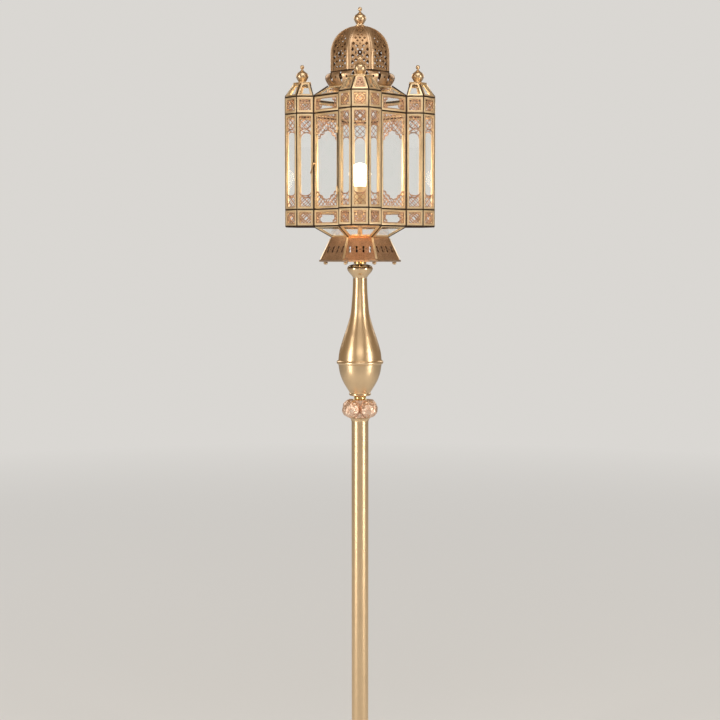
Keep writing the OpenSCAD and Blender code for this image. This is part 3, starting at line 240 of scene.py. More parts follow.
def addSkirtSpot():
    # Warm light on the front of the skirt
    data = bpy.data.lights.new("skirtSpot", "SPOT")
    data.energy = skirtSpot["watts"]
    data.color = skirtSpot["colour"]
    data.spot_size = math.radians(skirtSpot["degrees"])
    data.spot_blend = skirtSpot["softEdge"]
    data.shadow_soft_size = skirtSpot["radius"]
    aimLamp(bpy.data.objects.new("skirtSpot", data), skirtSpot["place"], skirtSpot["aim"])


addFloor()
addWorld()
for spec in studioLamps:
    addArea(*spec)
addSkirtSpot()
print("camera and studio set")


# Shared shader effects

def groupSocket(tree, name, way, kind, value=None):
    socket = tree.interface.new_socket(name=name, in_out=way, socket_type=kind)
    if value is not None:
        socket.default_value = value


patina = {
    # detail and roughness of the coarse and the fine blotches, and how they join
    "coarse": (4.0, 0.55), "fine": (3.0, 0.6), "finer": 7.3, "coarseShare": 0.7, "fineShare": 0.3,
    "clear": 0.40, "full": 0.66,
}


def makePatinaGroup():
    # Slow blotches of a darker and a paler tone, as lacquered old brass has
    tree = bpy.data.node_groups.new("agedTone", "ShaderNodeTree")
    groupSocket(tree, "Vector", "INPUT", "NodeSocketVector")
    groupSocket(tree, "Metal", "INPUT", "NodeSocketColor", (0.7, 0.6, 0.4, 1))
    groupSocket(tree, "Tarnish", "INPUT", "NodeSocketColor", (0.3, 0.2, 0.1, 1))
    groupSocket(tree, "Blotch Scale", "INPUT", "NodeSocketFloat", 30.0)
    groupSocket(tree, "Blotch Amount", "INPUT", "NodeSocketFloat", 0.4)
    groupSocket(tree, "Colour", "OUTPUT", "NodeSocketColor")
    start = tree.nodes.new("NodeGroupInput")
    end = tree.nodes.new("NodeGroupOutput")
    vector = start.outputs["Vector"]
    coarse = noiseNode(tree, vector, start.outputs["Blotch Scale"], *patina["coarse"])
    fineScale = mathNode(tree, "MULTIPLY", start.outputs["Blotch Scale"], patina["finer"])
    fine = noiseNode(tree, vector, fineScale, *patina["fine"])
    both = mathNode(tree, "ADD", mathNode(tree, "MULTIPLY", coarse, patina["coarseShare"]),
                    mathNode(tree, "MULTIPLY", fine, patina["fineShare"]))
    mask = rampNode(tree, both, [(patina["clear"], 0.0), (patina["full"], 1.0)])
    amount = mathNode(tree, "MULTIPLY", mask, start.outputs["Blotch Amount"], True)
    colour = mixColour(tree, amount, start.outputs["Metal"], start.outputs["Tarnish"])
    tree.links.new(colour, end.inputs["Colour"])
    return tree


grainLook = {"scale": 1.0, "detail": 2.0, "rough": 0.6}


def makeGrainGroup():
    # Fine parallel lines left by a brush or a lathe; Stretch sets their run
    tree = bpy.data.node_groups.new("toolGrain", "ShaderNodeTree")
    groupSocket(tree, "Vector", "INPUT", "NodeSocketVector")
    groupSocket(tree, "Stretch", "INPUT", "NodeSocketVector", (400, 400, 6))
    groupSocket(tree, "Rough Low", "INPUT", "NodeSocketFloat", 0.25)
    groupSocket(tree, "Rough High", "INPUT", "NodeSocketFloat", 0.42)
    groupSocket(tree, "Rough", "OUTPUT", "NodeSocketFloat")
    groupSocket(tree, "Height", "OUTPUT", "NodeSocketFloat")
    start = tree.nodes.new("NodeGroupInput")
    end = tree.nodes.new("NodeGroupOutput")
    stretch = addNode(tree, "VectorMath", (0, start.outputs["Vector"]), (1, start.outputs["Stretch"]),
                      operation="MULTIPLY")
    lines = noiseNode(tree, stretch.outputs[0], grainLook["scale"], grainLook["detail"], grainLook["rough"])
    spread = mathNode(tree, "SUBTRACT", start.outputs["Rough High"], start.outputs["Rough Low"])
    rough = mathNode(tree, "ADD", mathNode(tree, "MULTIPLY", lines, spread), start.outputs["Rough Low"])
    tree.links.new(rough, end.inputs["Rough"])
    tree.links.new(lines, end.inputs["Height"])
    return tree


dentLook = {"floor": 0.05, "brink": 0.5}


def makeStippleGroup():
    # Close small dents, as from a round punch
    tree = bpy.data.node_groups.new("punchedStipple", "ShaderNodeTree")
    groupSocket(tree, "Vector", "INPUT", "NodeSocketVector")
    groupSocket(tree, "Dent Scale", "INPUT", "NodeSocketFloat", 500.0)
    groupSocket(tree, "Height", "OUTPUT", "NodeSocketFloat")
    groupSocket(tree, "Dent", "OUTPUT", "NodeSocketFloat")
    start = tree.nodes.new("NodeGroupInput")
    end = tree.nodes.new("NodeGroupOutput")
    cells = addNode(tree, "TexVoronoi", ("Vector", start.outputs["Vector"]),
                    ("Scale", start.outputs["Dent Scale"]), feature="F1")
    height = rampNode(tree, cells.outputs["Distance"], [(dentLook["floor"], 0.0), (dentLook["brink"], 1.0)])
    dent = mathNode(tree, "SUBTRACT", 1.0, height)
    tree.links.new(height, end.inputs["Height"])
    tree.links.new(dent, end.inputs["Dent"])
    return tree


agedTone = makePatinaGroup()
toolGrain = makeGrainGroup()
punchedStipple = makeStippleGroup()
print("shader groups built")


# Finishes

def placeGroup(tree, group, vector, *inputs):
    # The group first, since its sockets come with it
    node = addNode(tree, "Group", node_tree=group)
    tree.links.new(vector, node.inputs["Vector"])
    for socket, value in inputs:
        node.inputs[socket].default_value = value
    return node


def emptyMaterial(name):
    mat = bpy.data.materials.new(name)
    tree = clearTree(mat)
    shader = addNode(tree, "BsdfPrincipled")
    addNode(tree, "OutputMaterial", ("Surface", shader.outputs[0]))
    return mat, tree, shader, addNode(tree, "TexCoord").outputs["Object"]


def addBump(tree, shader, height, depth, strength):
    bump = addNode(tree, "Bump", ("Distance", depth), ("Strength", strength), ("Height", height))
    tree.links.new(bump.outputs[0], shader.inputs["Normal"])


def latheCoords(tree, vector):
    # Radius and height, so that tool lines run round the lamp's axis
    split = addNode(tree, "SeparateXYZ", (0, vector))
    flat = addNode(tree, "CombineXYZ", (0, split.outputs[0]), (1, split.outputs[1]))
    radius = addNode(tree, "VectorMath", (0, flat.outputs[0]), operation="LENGTH")
    joined = addNode(tree, "CombineXYZ", (0, radius.outputs["Value"]), (2, split.outputs[2]))
    return joined.outputs[0]


metalLook = {
    "bump": 0.6, "grainAmongDents": 0.25, "speckScale": 900.0, "speckDetail": 2.0, "speckRough": 0.7,
    # the last tone is painted shade, for the sleeve where it stands inside the skirt
    "speckStart": 0.58, "speckEnd": 0.68, "skirtShadeTone": (0.045, 0.030, 0.020, 1.0),
}


def metalFinish(name, metal, tarnish, blotchScale, blotchAmount, stretch, roughLow, roughHigh, grainDepth,
                turned=False, speckle=0.0, dents=None, paintedShadeAbove=None):
    # dents: height, scale and how far they take the tarnish
    mat, tree, shader, vector = emptyMaterial(name)
    metal, tarnish = tones[metal], tones[tarnish]
    tone = placeGroup(tree, agedTone, vector, ("Metal", metal), ("Tarnish", tarnish),
                      ("Blotch Scale", blotchScale), ("Blotch Amount", blotchAmount))
    grainVector = latheCoords(tree, vector) if turned else vector
    grain = placeGroup(tree, toolGrain, grainVector, ("Stretch", stretch), ("Rough Low", roughLow),
                       ("Rough High", roughHigh))
    colour = tone.outputs["Colour"]
    height = grain.outputs["Height"]
    if dents:
        dentHeight, dentScale, dentTone = dents
        punched = placeGroup(tree, punchedStipple, vector, ("Dent Scale", dentScale))
        stained = mathNode(tree, "MULTIPLY", punched.outputs["Dent"], dentTone, True)
        colour = mixColour(tree, stained, colour, tarnish)
        height = mathNode(tree, "ADD", mathNode(tree, "MULTIPLY", height, metalLook["grainAmongDents"]),
                          mathNode(tree, "MULTIPLY", punched.outputs["Height"], dentHeight))
    if speckle:
        specks = noiseNode(tree, vector, metalLook["speckScale"], metalLook["speckDetail"],
                           metalLook["speckRough"])
        mask = rampNode(tree, specks, [(metalLook["speckStart"], 0.0), (metalLook["speckEnd"], 1.0)])
        colour = mixColour(tree, mathNode(tree, "MULTIPLY", mask, speckle, True), colour, tarnish)
    if paintedShadeAbove is not None:
        # Painted shade: darker from this height up, where the part stands in the shade inside the skirt
        split = addNode(tree, "SeparateXYZ", (0, vector))
        above = mathNode(tree, "GREATER_THAN", split.outputs["Z"], paintedShadeAbove)
        colour = mixColour(tree, above, colour, metalLook["skirtShadeTone"])
    addBump(tree, shader, height, grainDepth, metalLook["bump"])
    tree.links.new(colour, shader.inputs["Base Color"])
    tree.links.new(grain.outputs["Rough"], shader.inputs["Roughness"])
    shader.inputs["Metallic"].default_value = 1.0
    return mat


glassLook = {
    "waveStretch": (18.0, 18.0, 9.0), "waveScale": 1.0, "waveDetail": 2.0, "waveRough": 0.5, "bump": 0.1,
    "smearScale": 55.0, "smearDetail": 4.0, "smearRough": 0.6, "leastRough": 0.01,
    "smearStart": 0.3, "smearEnd": 0.8, "ior": 1.28, "shadow": (0.96, 0.97, 0.96, 1),
}


def glassFinish(name, tint, rough, waveDepth):
    # Clear sheet glass, which lets the lamps' light straight through
    mat, tree, shader, vector = emptyMaterial(name)
    pulled = addNode(tree, "Mapping", ("Vector", vector), ("Scale", glassLook["waveStretch"]))
    waves = noiseNode(tree, pulled.outputs[0], glassLook["waveScale"], glassLook["waveDetail"],
                      glassLook["waveRough"])
    addBump(tree, shader, waves, waveDepth, glassLook["bump"])
    smear = noiseNode(tree, vector, glassLook["smearScale"], glassLook["smearDetail"],
                      glassLook["smearRough"])
    roughness = mathNode(tree, "ADD", mathNode(tree, "MULTIPLY", smear, rough), glassLook["leastRough"])
    tree.links.new(roughness, shader.inputs["Roughness"])
    dust = rampNode(tree, smear, [(glassLook["smearStart"], (*tint, 1)),
                                  (glassLook["smearEnd"], (1, 1, 1, 1))])
    tree.links.new(dust, shader.inputs["Base Color"])
    shader.inputs["Transmission Weight"].default_value = 1.0
    shader.inputs["IOR"].default_value = glassLook["ior"]
    clear = addNode(tree, "BsdfTransparent", ("Color", glassLook["shadow"]))
    path = addNode(tree, "LightPath")
    either = mathNode(tree, "MAXIMUM", path.outputs["Is Shadow Ray"], path.outputs["Is Diffuse Ray"])
    mix = addNode(tree, "MixShader", ("Fac", either), (1, shader.outputs[0]), (2, clear.outputs[0]))
    tree.links.new(mix.outputs[0], tree.get_output_node("ALL").inputs["Surface"])
    return mat


bulbLook = {
    "middle": (1.0, 0.88, 0.66, 1), "cloud": (1.0, 0.88 * 1.02, 0.66 * 1.06, 1), "strength": 5.0,
    "scale": 70.0, "detail": 3.0, "rough": 0.5, "start": 0.3, "end": 0.7, "surfaceRough": 0.25,
}


def bulbFinish(name):
    # Lit opal glass, faintly clouded
    mat, tree, shader, vector = emptyMaterial(name)
    cloud = noiseNode(tree, vector, bulbLook["scale"], bulbLook["detail"], bulbLook["rough"])
    glow = rampNode(tree, cloud, [(bulbLook["start"], bulbLook["middle"]),
                                  (bulbLook["end"], bulbLook["cloud"])])
    tree.links.new(glow, shader.inputs["Emission Color"])
    tree.links.new(glow, shader.inputs["Base Color"])
    shader.inputs["Emission Strength"].default_value = bulbLook["strength"]
    shader.inputs["Roughness"].default_value = bulbLook["surfaceRough"]
    return mat


dullLook = {"detail": 5.0, "rough": 0.65, "start": 0.35, "end": 0.7, "roughSpread": 0.15, "bump": 1.0}


def dullFinish(name, colour, other, scale, rough, depth):
    # Felt, iron casting, plastic and rubber
    mat, tree, shader, vector = emptyMaterial(name)
    grit = noiseNode(tree, vector, scale, dullLook["detail"], dullLook["rough"])
    tone = rampNode(tree, grit, [(dullLook["start"], colour), (dullLook["end"], other)])
    tree.links.new(tone, shader.inputs["Base Color"])
    addBump(tree, shader, grit, depth, dullLook["bump"])
    roughness = mathNode(tree, "ADD", mathNode(tree, "MULTIPLY", grit, dullLook["roughSpread"]), rough)
    tree.links.new(roughness, shader.inputs["Roughness"])
    return mat


tones = {
    "champagne": (0.79, 0.595, 0.375, 1), "champagneDark": (0.46, 0.31, 0.16, 1),
    "cream": (0.95, 0.76, 0.49, 1), "creamDark": (0.50, 0.33, 0.19, 1),
    "tan": (0.55, 0.36, 0.205, 1), "tanDark": (0.24, 0.13, 0.07, 1),
    "gold": (0.86, 0.64, 0.30, 1), "goldDark": (0.45, 0.26, 0.09, 1),
    "seam": (0.085, 0.060, 0.048, 1), "seamDark": (0.03, 0.02, 0.018, 1),
    "peach": (0.93, 0.76, 0.63, 1), "peachDark": (0.66, 0.34, 0.20, 1),
    "lace": (0.72, 0.46, 0.31, 1), "laceDark": (0.32, 0.18, 0.11, 1),
    "skirt": (0.66, 0.44, 0.28, 1), "skirtDark": (0.24, 0.13, 0.08, 1),
    "rim": (0.52, 0.39, 0.28, 1), "rimDark": (0.20, 0.13, 0.09, 1),
    # the inside tones are painted shade, for the inner faces of the shells
    "inside": (0.20, 0.13, 0.085, 1), "insideDark": (0.06, 0.04, 0.03, 1),
    "steel": (0.62, 0.61, 0.60, 1), "steelDark": (0.28, 0.27, 0.26, 1),
    "cap": (0.76, 0.76, 0.77, 1), "capDark": (0.4, 0.39, 0.38, 1),
    "band": (0.62, 0.44, 0.28, 1), "rib": (0.68, 0.48, 0.30, 1),
    "holder": (0.80, 0.60, 0.36, 1), "tube": (0.80, 0.58, 0.36, 1),
}

metals = {
    # tone, tarnish, scale and amount of blotches, run of the tool lines, roughness from and to, depth, extras
    "poleBrass": ("champagne", "champagneDark", 9.0, 0.16, (520, 520, 3), 0.26, 0.40, 0.00003, {}),
    "turnedBrass": ("champagne", "champagneDark", 12.0, 0.18, (2600, 1, 2600), 0.24, 0.36, 0.000003,
                    {"turned": True}),
    "baseBrass": ("champagne", "champagneDark", 7.0, 0.22, (900, 1, 900), 0.24, 0.38, 0.00003,
                  {"turned": True}),
    "collarBrass": ("champagne", "goldDark", 30.0, 0.16, (1800, 1, 1800), 0.15, 0.26, 0.000004,
                    {"turned": True}),
    "giltBrass": ("gold", "goldDark", 60.0, 0.3, (900, 1, 900), 0.14, 0.26, 0.00002, {"turned": True}),
    # the sleeve gets painted shade above the skirt's rim, for the shade inside the skirt
    "sleeveBrass": ("gold", "goldDark", 60.0, 0.3, (900, 1, 900), 0.14, 0.26, 0.00002,
                    {"turned": True, "paintedShadeAbove": 1.1365}),
    "frameBrass": ("cream", "creamDark", 26.0, 0.40, (260, 260, 14), 0.34, 0.54, 0.00003, {"speckle": 0.2}),
    "trimBrass": ("cream", "creamDark", 45.0, 0.35, (200, 200, 30), 0.26, 0.44, 0.00004, {"speckle": 0.2}),
    "castBrass": ("champagne", "laceDark", 80.0, 0.45, (700, 1, 700), 0.22, 0.38, 0.00004,
                  {"turned": True, "speckle": 0.25}),
    "galleryBrass": ("band", "tanDark", 60.0, 0.45, (300, 300, 20), 0.28, 0.46, 0.00005, {"speckle": 0.25}),
    "ribBrass": ("rib", "tanDark", 50.0, 0.35, (200, 200, 30), 0.34, 0.52, 0.00004, {"speckle": 0.2}),
    "holderBrass": ("holder", "goldDark", 70.0, 0.4, (900, 1, 900), 0.28, 0.44, 0.00003, {"turned": True}),
    "tubeBrass": ("tube", "goldDark", 60.0, 0.4, (1, 1, 1500), 0.28, 0.42, 0.00008, {}),
    "laceCopper": ("lace", "laceDark", 70.0, 0.6, (240, 240, 60), 0.36, 0.56, 0.00012,
                   {"dents": (1.0, 420.0, 0.85)}),
    "domeCopper": ("tan", "tanDark", 55.0, 0.5, (240, 240, 60), 0.34, 0.54, 0.00012,
                   {"dents": (1.0, 560.0, 0.45)}),
    "skirtCopper": ("skirt", "skirtDark", 45.0, 0.45, (240, 240, 60), 0.36, 0.55, 0.00016,
                    {"dents": (1.0, 480.0, 0.8)}),
    "rimCopper": ("rim", "rimDark", 60.0, 0.5, (200, 200, 60), 0.32, 0.5, 0.00006, {}),
    "carvedMetal": ("peach", "peachDark", 150.0, 0.75, (300, 300, 300), 0.34, 0.55, 0.00010,
                    {"dents": (0.6, 380.0, 0.35)}),
    "seamMetal": ("seam", "seamDark", 90.0, 0.5, (300, 300, 40), 0.35, 0.6, 0.00005, {"speckle": 0.3}),
    # painted shade for the inner faces of the shells
    "shadedInside": ("inside", "insideDark", 60.0, 0.7, (200, 200, 60), 0.5, 0.7, 0.00006, {"speckle": 0.4}),
    "plainSteel": ("steel", "steelDark", 90.0, 0.35, (900, 1, 900), 0.26, 0.44, 0.00003, {"turned": True}),
    "capMetal": ("cap", "capDark", 120.0, 0.3, (1, 1, 1600), 0.18, 0.32, 0.00006, {}),
}

dulls = {
    # tone, other tone, scale, roughness, depth
    "castIron": ((0.035, 0.035, 0.037, 1), (0.10, 0.10, 0.10, 1), 160.0, 0.55, 0.0004),
    "greenFelt": ((0.012, 0.045, 0.030, 1), (0.03, 0.09, 0.06, 1), 900.0, 0.80, 0.0005),
    "blackPlastic": ((0.012, 0.012, 0.013, 1), (0.035, 0.035, 0.036, 1), 500.0, 0.35, 0.00005),
    "leadRubber": ((0.02, 0.02, 0.021, 1), (0.05, 0.05, 0.05, 1), 240.0, 0.45, 0.00008),
}

glasses = {
    # tint, roughness, depth of the waves
    "windowGlass": ((0.97, 0.985, 0.975), 0.012, 0.00001),
    "roofGlass": ((0.93, 0.95, 0.95), 0.03, 0.00003),
}

finishes = {name: metalFinish(name, *spec[:-1], **spec[-1]) for name, spec in metals.items()}
finishes.update({name: dullFinish(name, *spec) for name, spec in dulls.items()})
finishes.update({name: glassFinish(name, *spec) for name, spec in glasses.items()})
finishes["litGlass"] = bulbFinish("litGlass")

nodesIn = {
    "turnedBrass": ["pole_foot", "pole_cup", "vase_lower", "vase_band", "vase_upper"],
    "poleBrass": ["pole_tube"],
    "baseBrass": ["base_cover"],
    "collarBrass": ["vase_collar"],
    "giltBrass": ["neck_spacer"],
    "sleeveBrass": ["lantern_sleeve"],
    "tubeBrass": ["tie_tube"],
    "holderBrass": ["holder_cap", "holder_shell"],
    "frameBrass": ["lower_frames", "front_turret_frames", "right_turret_frames", "back_turret_frames",
                   "left_turret_frames", "panel_frames", "door_frame", "turret_roof_frames", "roof_frames"],
    "trimBrass": ["skirt_arrises", "hinge_brackets", "turret_caps"],
    "castBrass": ["seat_bridge", "ball_feet", "hinge_pins", "latch_hook", "latch_pivot", "latch_stud",
                  "turret_finials", "dome_finial"],
    "galleryBrass": ["gallery"],
    "ribBrass": ["dome_ribs"],
    "laceCopper": ["turret_floors", "turret_fretwork", "panel_fretwork", "door_fretwork",
                   "turret_roof_fretwork"],
    "domeCopper": ["dome_gores"],
    "skirtCopper": ["skirt_panels"],
    "rimCopper": ["skirt_rim"],
    "carvedMetal": ["carved_ring"],
    "seamMetal": ["corner_posts", "seam_bands", "dome_ring"],
    "plainSteel": ["base_nut", "seat_nuts"],
    "capMetal": ["bulb_cap"],
    "castIron": ["base_weight"],
    "greenFelt": ["base_felt"],
    "blackPlastic": ["cord_bush"],
    "leadRubber": ["inner_lead"],
    "windowGlass": ["window_panes", "door_glass"],
    "roofGlass": ["lower_panes", "turret_roof_panes", "roof_panes"],
    "litGlass": ["bulb_globe"],
}


def giveFinish(piece, finishName):
    piece.data.materials.clear()
    piece.data.materials.append(finishes[finishName])


for finishName, nodeNames in nodesIn.items():
    for nodeName in nodeNames:
        giveFinish(nodes[nodeName], finishName)
print("finishes on", sum(len(nodeNames) for nodeNames in nodesIn.values()), "nodes")


# The lit bulb

bulbLight = {"centre": (0.0, 0.0, 1.3126), "radius": 0.024, "watts": 0.9, "colour": (1.0, 0.74, 0.46)}


def lightBulb():
    nodes["bulb_globe"].visible_shadow = False
    data = bpy.data.lights.new("bulbLight", "POINT")
    data.energy = bulbLight["watts"]
    data.color = bulbLight["colour"]
    data.shadow_soft_size = bulbLight["radius"]
    lamp = bpy.data.objects.new("bulbLight", data)
    bpy.context.scene.collection.objects.link(lamp)
    lamp.location = bulbLight["centre"]
    lamp.visible_transmission = False


lightBulb()


# Strips with softened edges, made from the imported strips

softEdges = {"width": 0.00035, "steps": 2, "angle": 28.0, "joinWithin": 0.000002, "flatWithin": 1.0,
             "smooth": 35.0}

softened = {
    # node: (body, material slot)
    "front_turret_frames": ("lamp", "pale_brass"), "right_turret_frames": ("lamp", "pale_brass"),
    "back_turret_frames": ("lamp", "pale_brass"), "left_turret_frames": ("lamp", "pale_brass"),
    "panel_frames": ("lamp", "pale_brass"), "lower_frames": ("lamp", "pale_brass"),
    "roof_frames": ("lamp", "pale_brass"), "turret_roof_frames": ("lamp", "pale_brass"),
    "door_frame": ("door", "pale_brass"), "turret_caps": ("lamp", "brass"),
    "dome_ribs": ("lamp", "pale_brass"), "latch_hook": ("latch", "brass"),
}


def copyNode(nodeName, pieceName):
    piece = bpy.data.objects.new(pieceName, nodes[nodeName].data.copy())
    bpy.context.scene.collection.objects.link(piece)
    selectOnly(piece)
    bpy.ops.object.mode_set(mode="EDIT")
    bpy.ops.mesh.select_all(action="SELECT")
    bpy.ops.mesh.remove_doubles(threshold=softEdges["joinWithin"])
    bpy.ops.mesh.customdata_custom_splitnormals_clear()
    bpy.ops.object.mode_set(mode="OBJECT")
    return piece


def softenNode(nodeName, bodyName, slotName):
    piece = copyNode(nodeName, nodeName + "_soft")
    bpy.ops.object.mode_set(mode="EDIT")
    bpy.ops.mesh.select_all(action="SELECT")
    bpy.ops.mesh.dissolve_limited(angle_limit=math.radians(softEdges["flatWithin"]))
    bpy.ops.object.mode_set(mode="OBJECT")
    bevel = piece.modifiers.new("softEdge", "BEVEL")
    bevel.width = softEdges["width"]
    bevel.segments = softEdges["steps"]
    bevel.limit_method = "ANGLE"
    bevel.angle_limit = math.radians(softEdges["angle"])
    bevel.use_clamp_overlap = True
    bpy.ops.object.modifier_apply(modifier=bevel.name)
    bpy.ops.object.shade_smooth_by_angle(angle=math.radians(softEdges["smooth"]))
    joinBody(piece, bodyName, slotName, nodeName)
    return len(piece.data.polygons)


softCount = 0
for nodeName, (bodyName, slotName) in softened.items():
    softCount += softenNode(nodeName, bodyName, slotName)
print("softened strips:", len(softened), "pieces,", softCount, "faces")


# The carved ring: four fat lobes with leaf-like carving, round a plain core

carving = {
    "lobes": 4, "turn": 45.0, "middle": 0.8285, "reach": 0.0252, "radius": 0.0187, "flatten": 0.965,
    "segments": 96, "rings": 64, "relief": 0.0026, "cell": 0.0068, "reliefLevel": 0.62,
    "coreRadius": 0.0191, "coreHeight": 0.0366, "coreSides": 64, "smooth": 40.0,
}


def carveLobe(lobe, name):
    texture = bpy.data.textures.new(name, "VORONOI")
    texture.noise_scale = carving["cell"]
    push = lobe.modifiers.new(name, "DISPLACE")
    push.texture = texture
    push.texture_coords = "LOCAL"
    push.strength = carving["relief"]
    push.mid_level = carving["reliefLevel"]
    bpy.ops.object.modifier_apply(modifier=push.name)


def carveRing():
    lobes = []
    for i in range(carving["lobes"]):
        turn = math.radians(carving["turn"] + 360.0 * i / carving["lobes"])
        spot = (carving["reach"] * math.cos(turn), carving["reach"] * math.sin(turn), carving["middle"])
        deselectAll()
        bpy.ops.mesh.primitive_uv_sphere_add(segments=carving["segments"], ring_count=carving["rings"],
                                             radius=carving["radius"], location=spot)
        lobe = bpy.context.object
        lobe.scale = (1.0, 1.0, carving["flatten"])
        lobe.rotation_euler = (0.0, 0.0, turn)
        bpy.ops.object.transform_apply(location=True, rotation=True, scale=True)
        carveLobe(lobe, "leafCells" + str(i))
        lobes.append(lobe)
    deselectAll()
    bpy.ops.mesh.primitive_cylinder_add(vertices=carving["coreSides"], radius=carving["coreRadius"],
                                        depth=carving["coreHeight"], location=(0, 0, carving["middle"]))
    core = bpy.context.object
    bpy.ops.object.transform_apply(location=True, rotation=True, scale=True)
    ring = joinPieces([core] + lobes, "carvedRing")
    bpy.ops.object.shade_smooth_by_angle(angle=math.radians(carving["smooth"]))
    giveFinish(ring, "carvedMetal")
    joinBody(ring, "lamp", "carved_brass", "carved_ring")


carveRing()
print("carved ring made")


# The vase's collar, full and round as in the photograph: a sphere drawn out to the turned outline

collar = {
    "low": 1.0994, "high": 1.1284, "segments": 96, "rings": 40, "smooth": 50.0,
    # share of the height from the foot, radius
    "outline": [(0.0, 0.0), (0.02, 0.0146), (0.10, 0.0154), (0.22, 0.0180), (0.36, 0.0218), (0.50, 0.0248),
                (0.62, 0.0263), (0.70, 0.0265), (0.78, 0.0258), (0.86, 0.0236), (0.92, 0.0204),
                (0.96, 0.0172), (0.98, 0.0142), (1.0, 0.0)],
}


def collarRadius(share):
    outline = collar["outline"]
    for (lowShare, lowRadius), (highShare, highRadius) in zip(outline, outline[1:]):
        if share <= highShare:
            return lowRadius + (highRadius - lowRadius) * (share - lowShare) / (highShare - lowShare)
    return 0.0


def turnCollar():
    deselectAll()
    bpy.ops.mesh.primitive_uv_sphere_add(segments=collar["segments"], ring_count=collar["rings"],
                                         radius=1.0, location=(0, 0, 0))
    piece = bpy.context.object
    piece.name = "roundCollar"
    for corner in piece.data.vertices:
        share = 1.0 - math.acos(max(-1.0, min(1.0, corner.co.z))) / math.pi
        around = math.hypot(corner.co.x, corner.co.y)
        radius = collarRadius(share)
        if around > 1e-6:  # the two ends stay on the axis
            corner.co.x *= radius / around
            corner.co.y *= radius / around
        corner.co.z = collar["low"] + (collar["high"] - collar["low"]) * share
    bpy.ops.object.shade_smooth_by_angle(angle=math.radians(collar["smooth"]))
    giveFinish(piece, "collarBrass")
    joinBody(piece, "lamp", "pale_brass", "vase_collar")


turnCollar()
print("round collar made")


# Pierced lace in the windows. A sheet is drawn flat, x across and y up from its frame's lower line,
# and then stood on its face. Sizes in millimetres, as on the drawing.

halfTurn = math.radians(22.5)

plan = {
    "turretReach": 111.0, "turretSide": 35.0, "sill": 1238.8, "windowHeight": 193.2,
    "strip": 5.7, "levelStrip": 5.5, "sheetDepth": -1.2, "springHeight": 149.5, "lowerEdge": 35.7,
}
plan["turretFace"] = plan["turretSide"] / 2 / math.tan(halfTurn)
plan["panelFace"] = (plan["turretFace"] + plan["turretReach"] - plan["turretSide"] / 2) / math.sqrt(2)
plan["panelWidth"] = (plan["turretReach"] - plan["turretSide"] / 2 - plan["turretFace"]) * math.sqrt(2)


def turned(degrees, axis):
    return Matrix.Rotation(math.radians(degrees), 4, axis)


def turretPlace(i, k, level):
    toTurret = Matrix.Translation((0, -plan["turretReach"], 0))
    toFace = Matrix.Translation((0, -plan["turretFace"], level))
    return turned(90 * i, "Z") @ toTurret @ turned(45 * k, "Z") @ toFace @ turned(90, "X")


def panelPlace(i, level):
    toFace = Matrix.Translation((0, -plan["panelFace"], level))
    return turned(45 + 90 * i, "Z") @ toFace @ turned(90, "X")


lace = {
    "bar": 2.2, "rimRadius": 1.05, "turretCell": 7.6, "panelCell": 6.8, "over": 0.6,
    "hugStep": 0.25, "hugSteps": 60,
    # rise of the arch over the window and of the one at its foot
    "turretRises": (12.2, 8.0), "panelRises": (26.0, 22.0), "roundSteps": 24,
    # a keel arch is drawn in bows, from the side to the middle
    "bows": 3, "bowSteps": 8, "scallop": 0.15, "bowDrop": 0.5, "keelPower": 1.1, "keelShift": 0.02,
}


def archPoints(kind, halfWidth, spring, rise, up):
    # Edge of the opening from left to right; up is 1 for an arch and -1 for one turned over
    points = []
    if kind == "round":
        for k in range(lace["roundSteps"] + 1):
            a = math.pi * (1 - k / lace["roundSteps"])
            points.append((halfWidth * math.cos(a), spring + up * rise * math.sin(a)))
        return points
    bows, bowSteps = lace["bows"], lace["bowSteps"]
    for side in (-1, 1):
        for n in range(bows):
            m = n if side < 0 else bows - 1 - n
            low, high = m / bows, (m + 1) / bows
            for step in range(bowSteps + 1):
                s = step if side < 0 else bowSteps - step
                share = low + (high - low) * s / bowSteps
                bow = math.sin(math.pi * s / bowSteps) * lace["scallop"]
                reach = 1 - share ** lace["keelPower"]
                x = halfWidth * min(1.0, max(0.0, reach - bow + lace["keelShift"]))
                points.append((side * x, spring + up * rise * (share - bow * lace["bowDrop"])))
    return points


def insideArch(x, y, points, spring, up):
    # Whether (x, y) lies in the opening under the arch's edge
    if up * (y - spring) < 0:
        return True
    count = 0
    for (x1, y1), (x2, y2) in zip(points, points[1:]):
        if (x1 <= x < x2) or (x2 <= x < x1):
            edge = y1 + (y2 - y1) * (x - x1) / (x2 - x1)
            if up * (edge - y) > 0:
                count += 1
    return count % 2 == 1


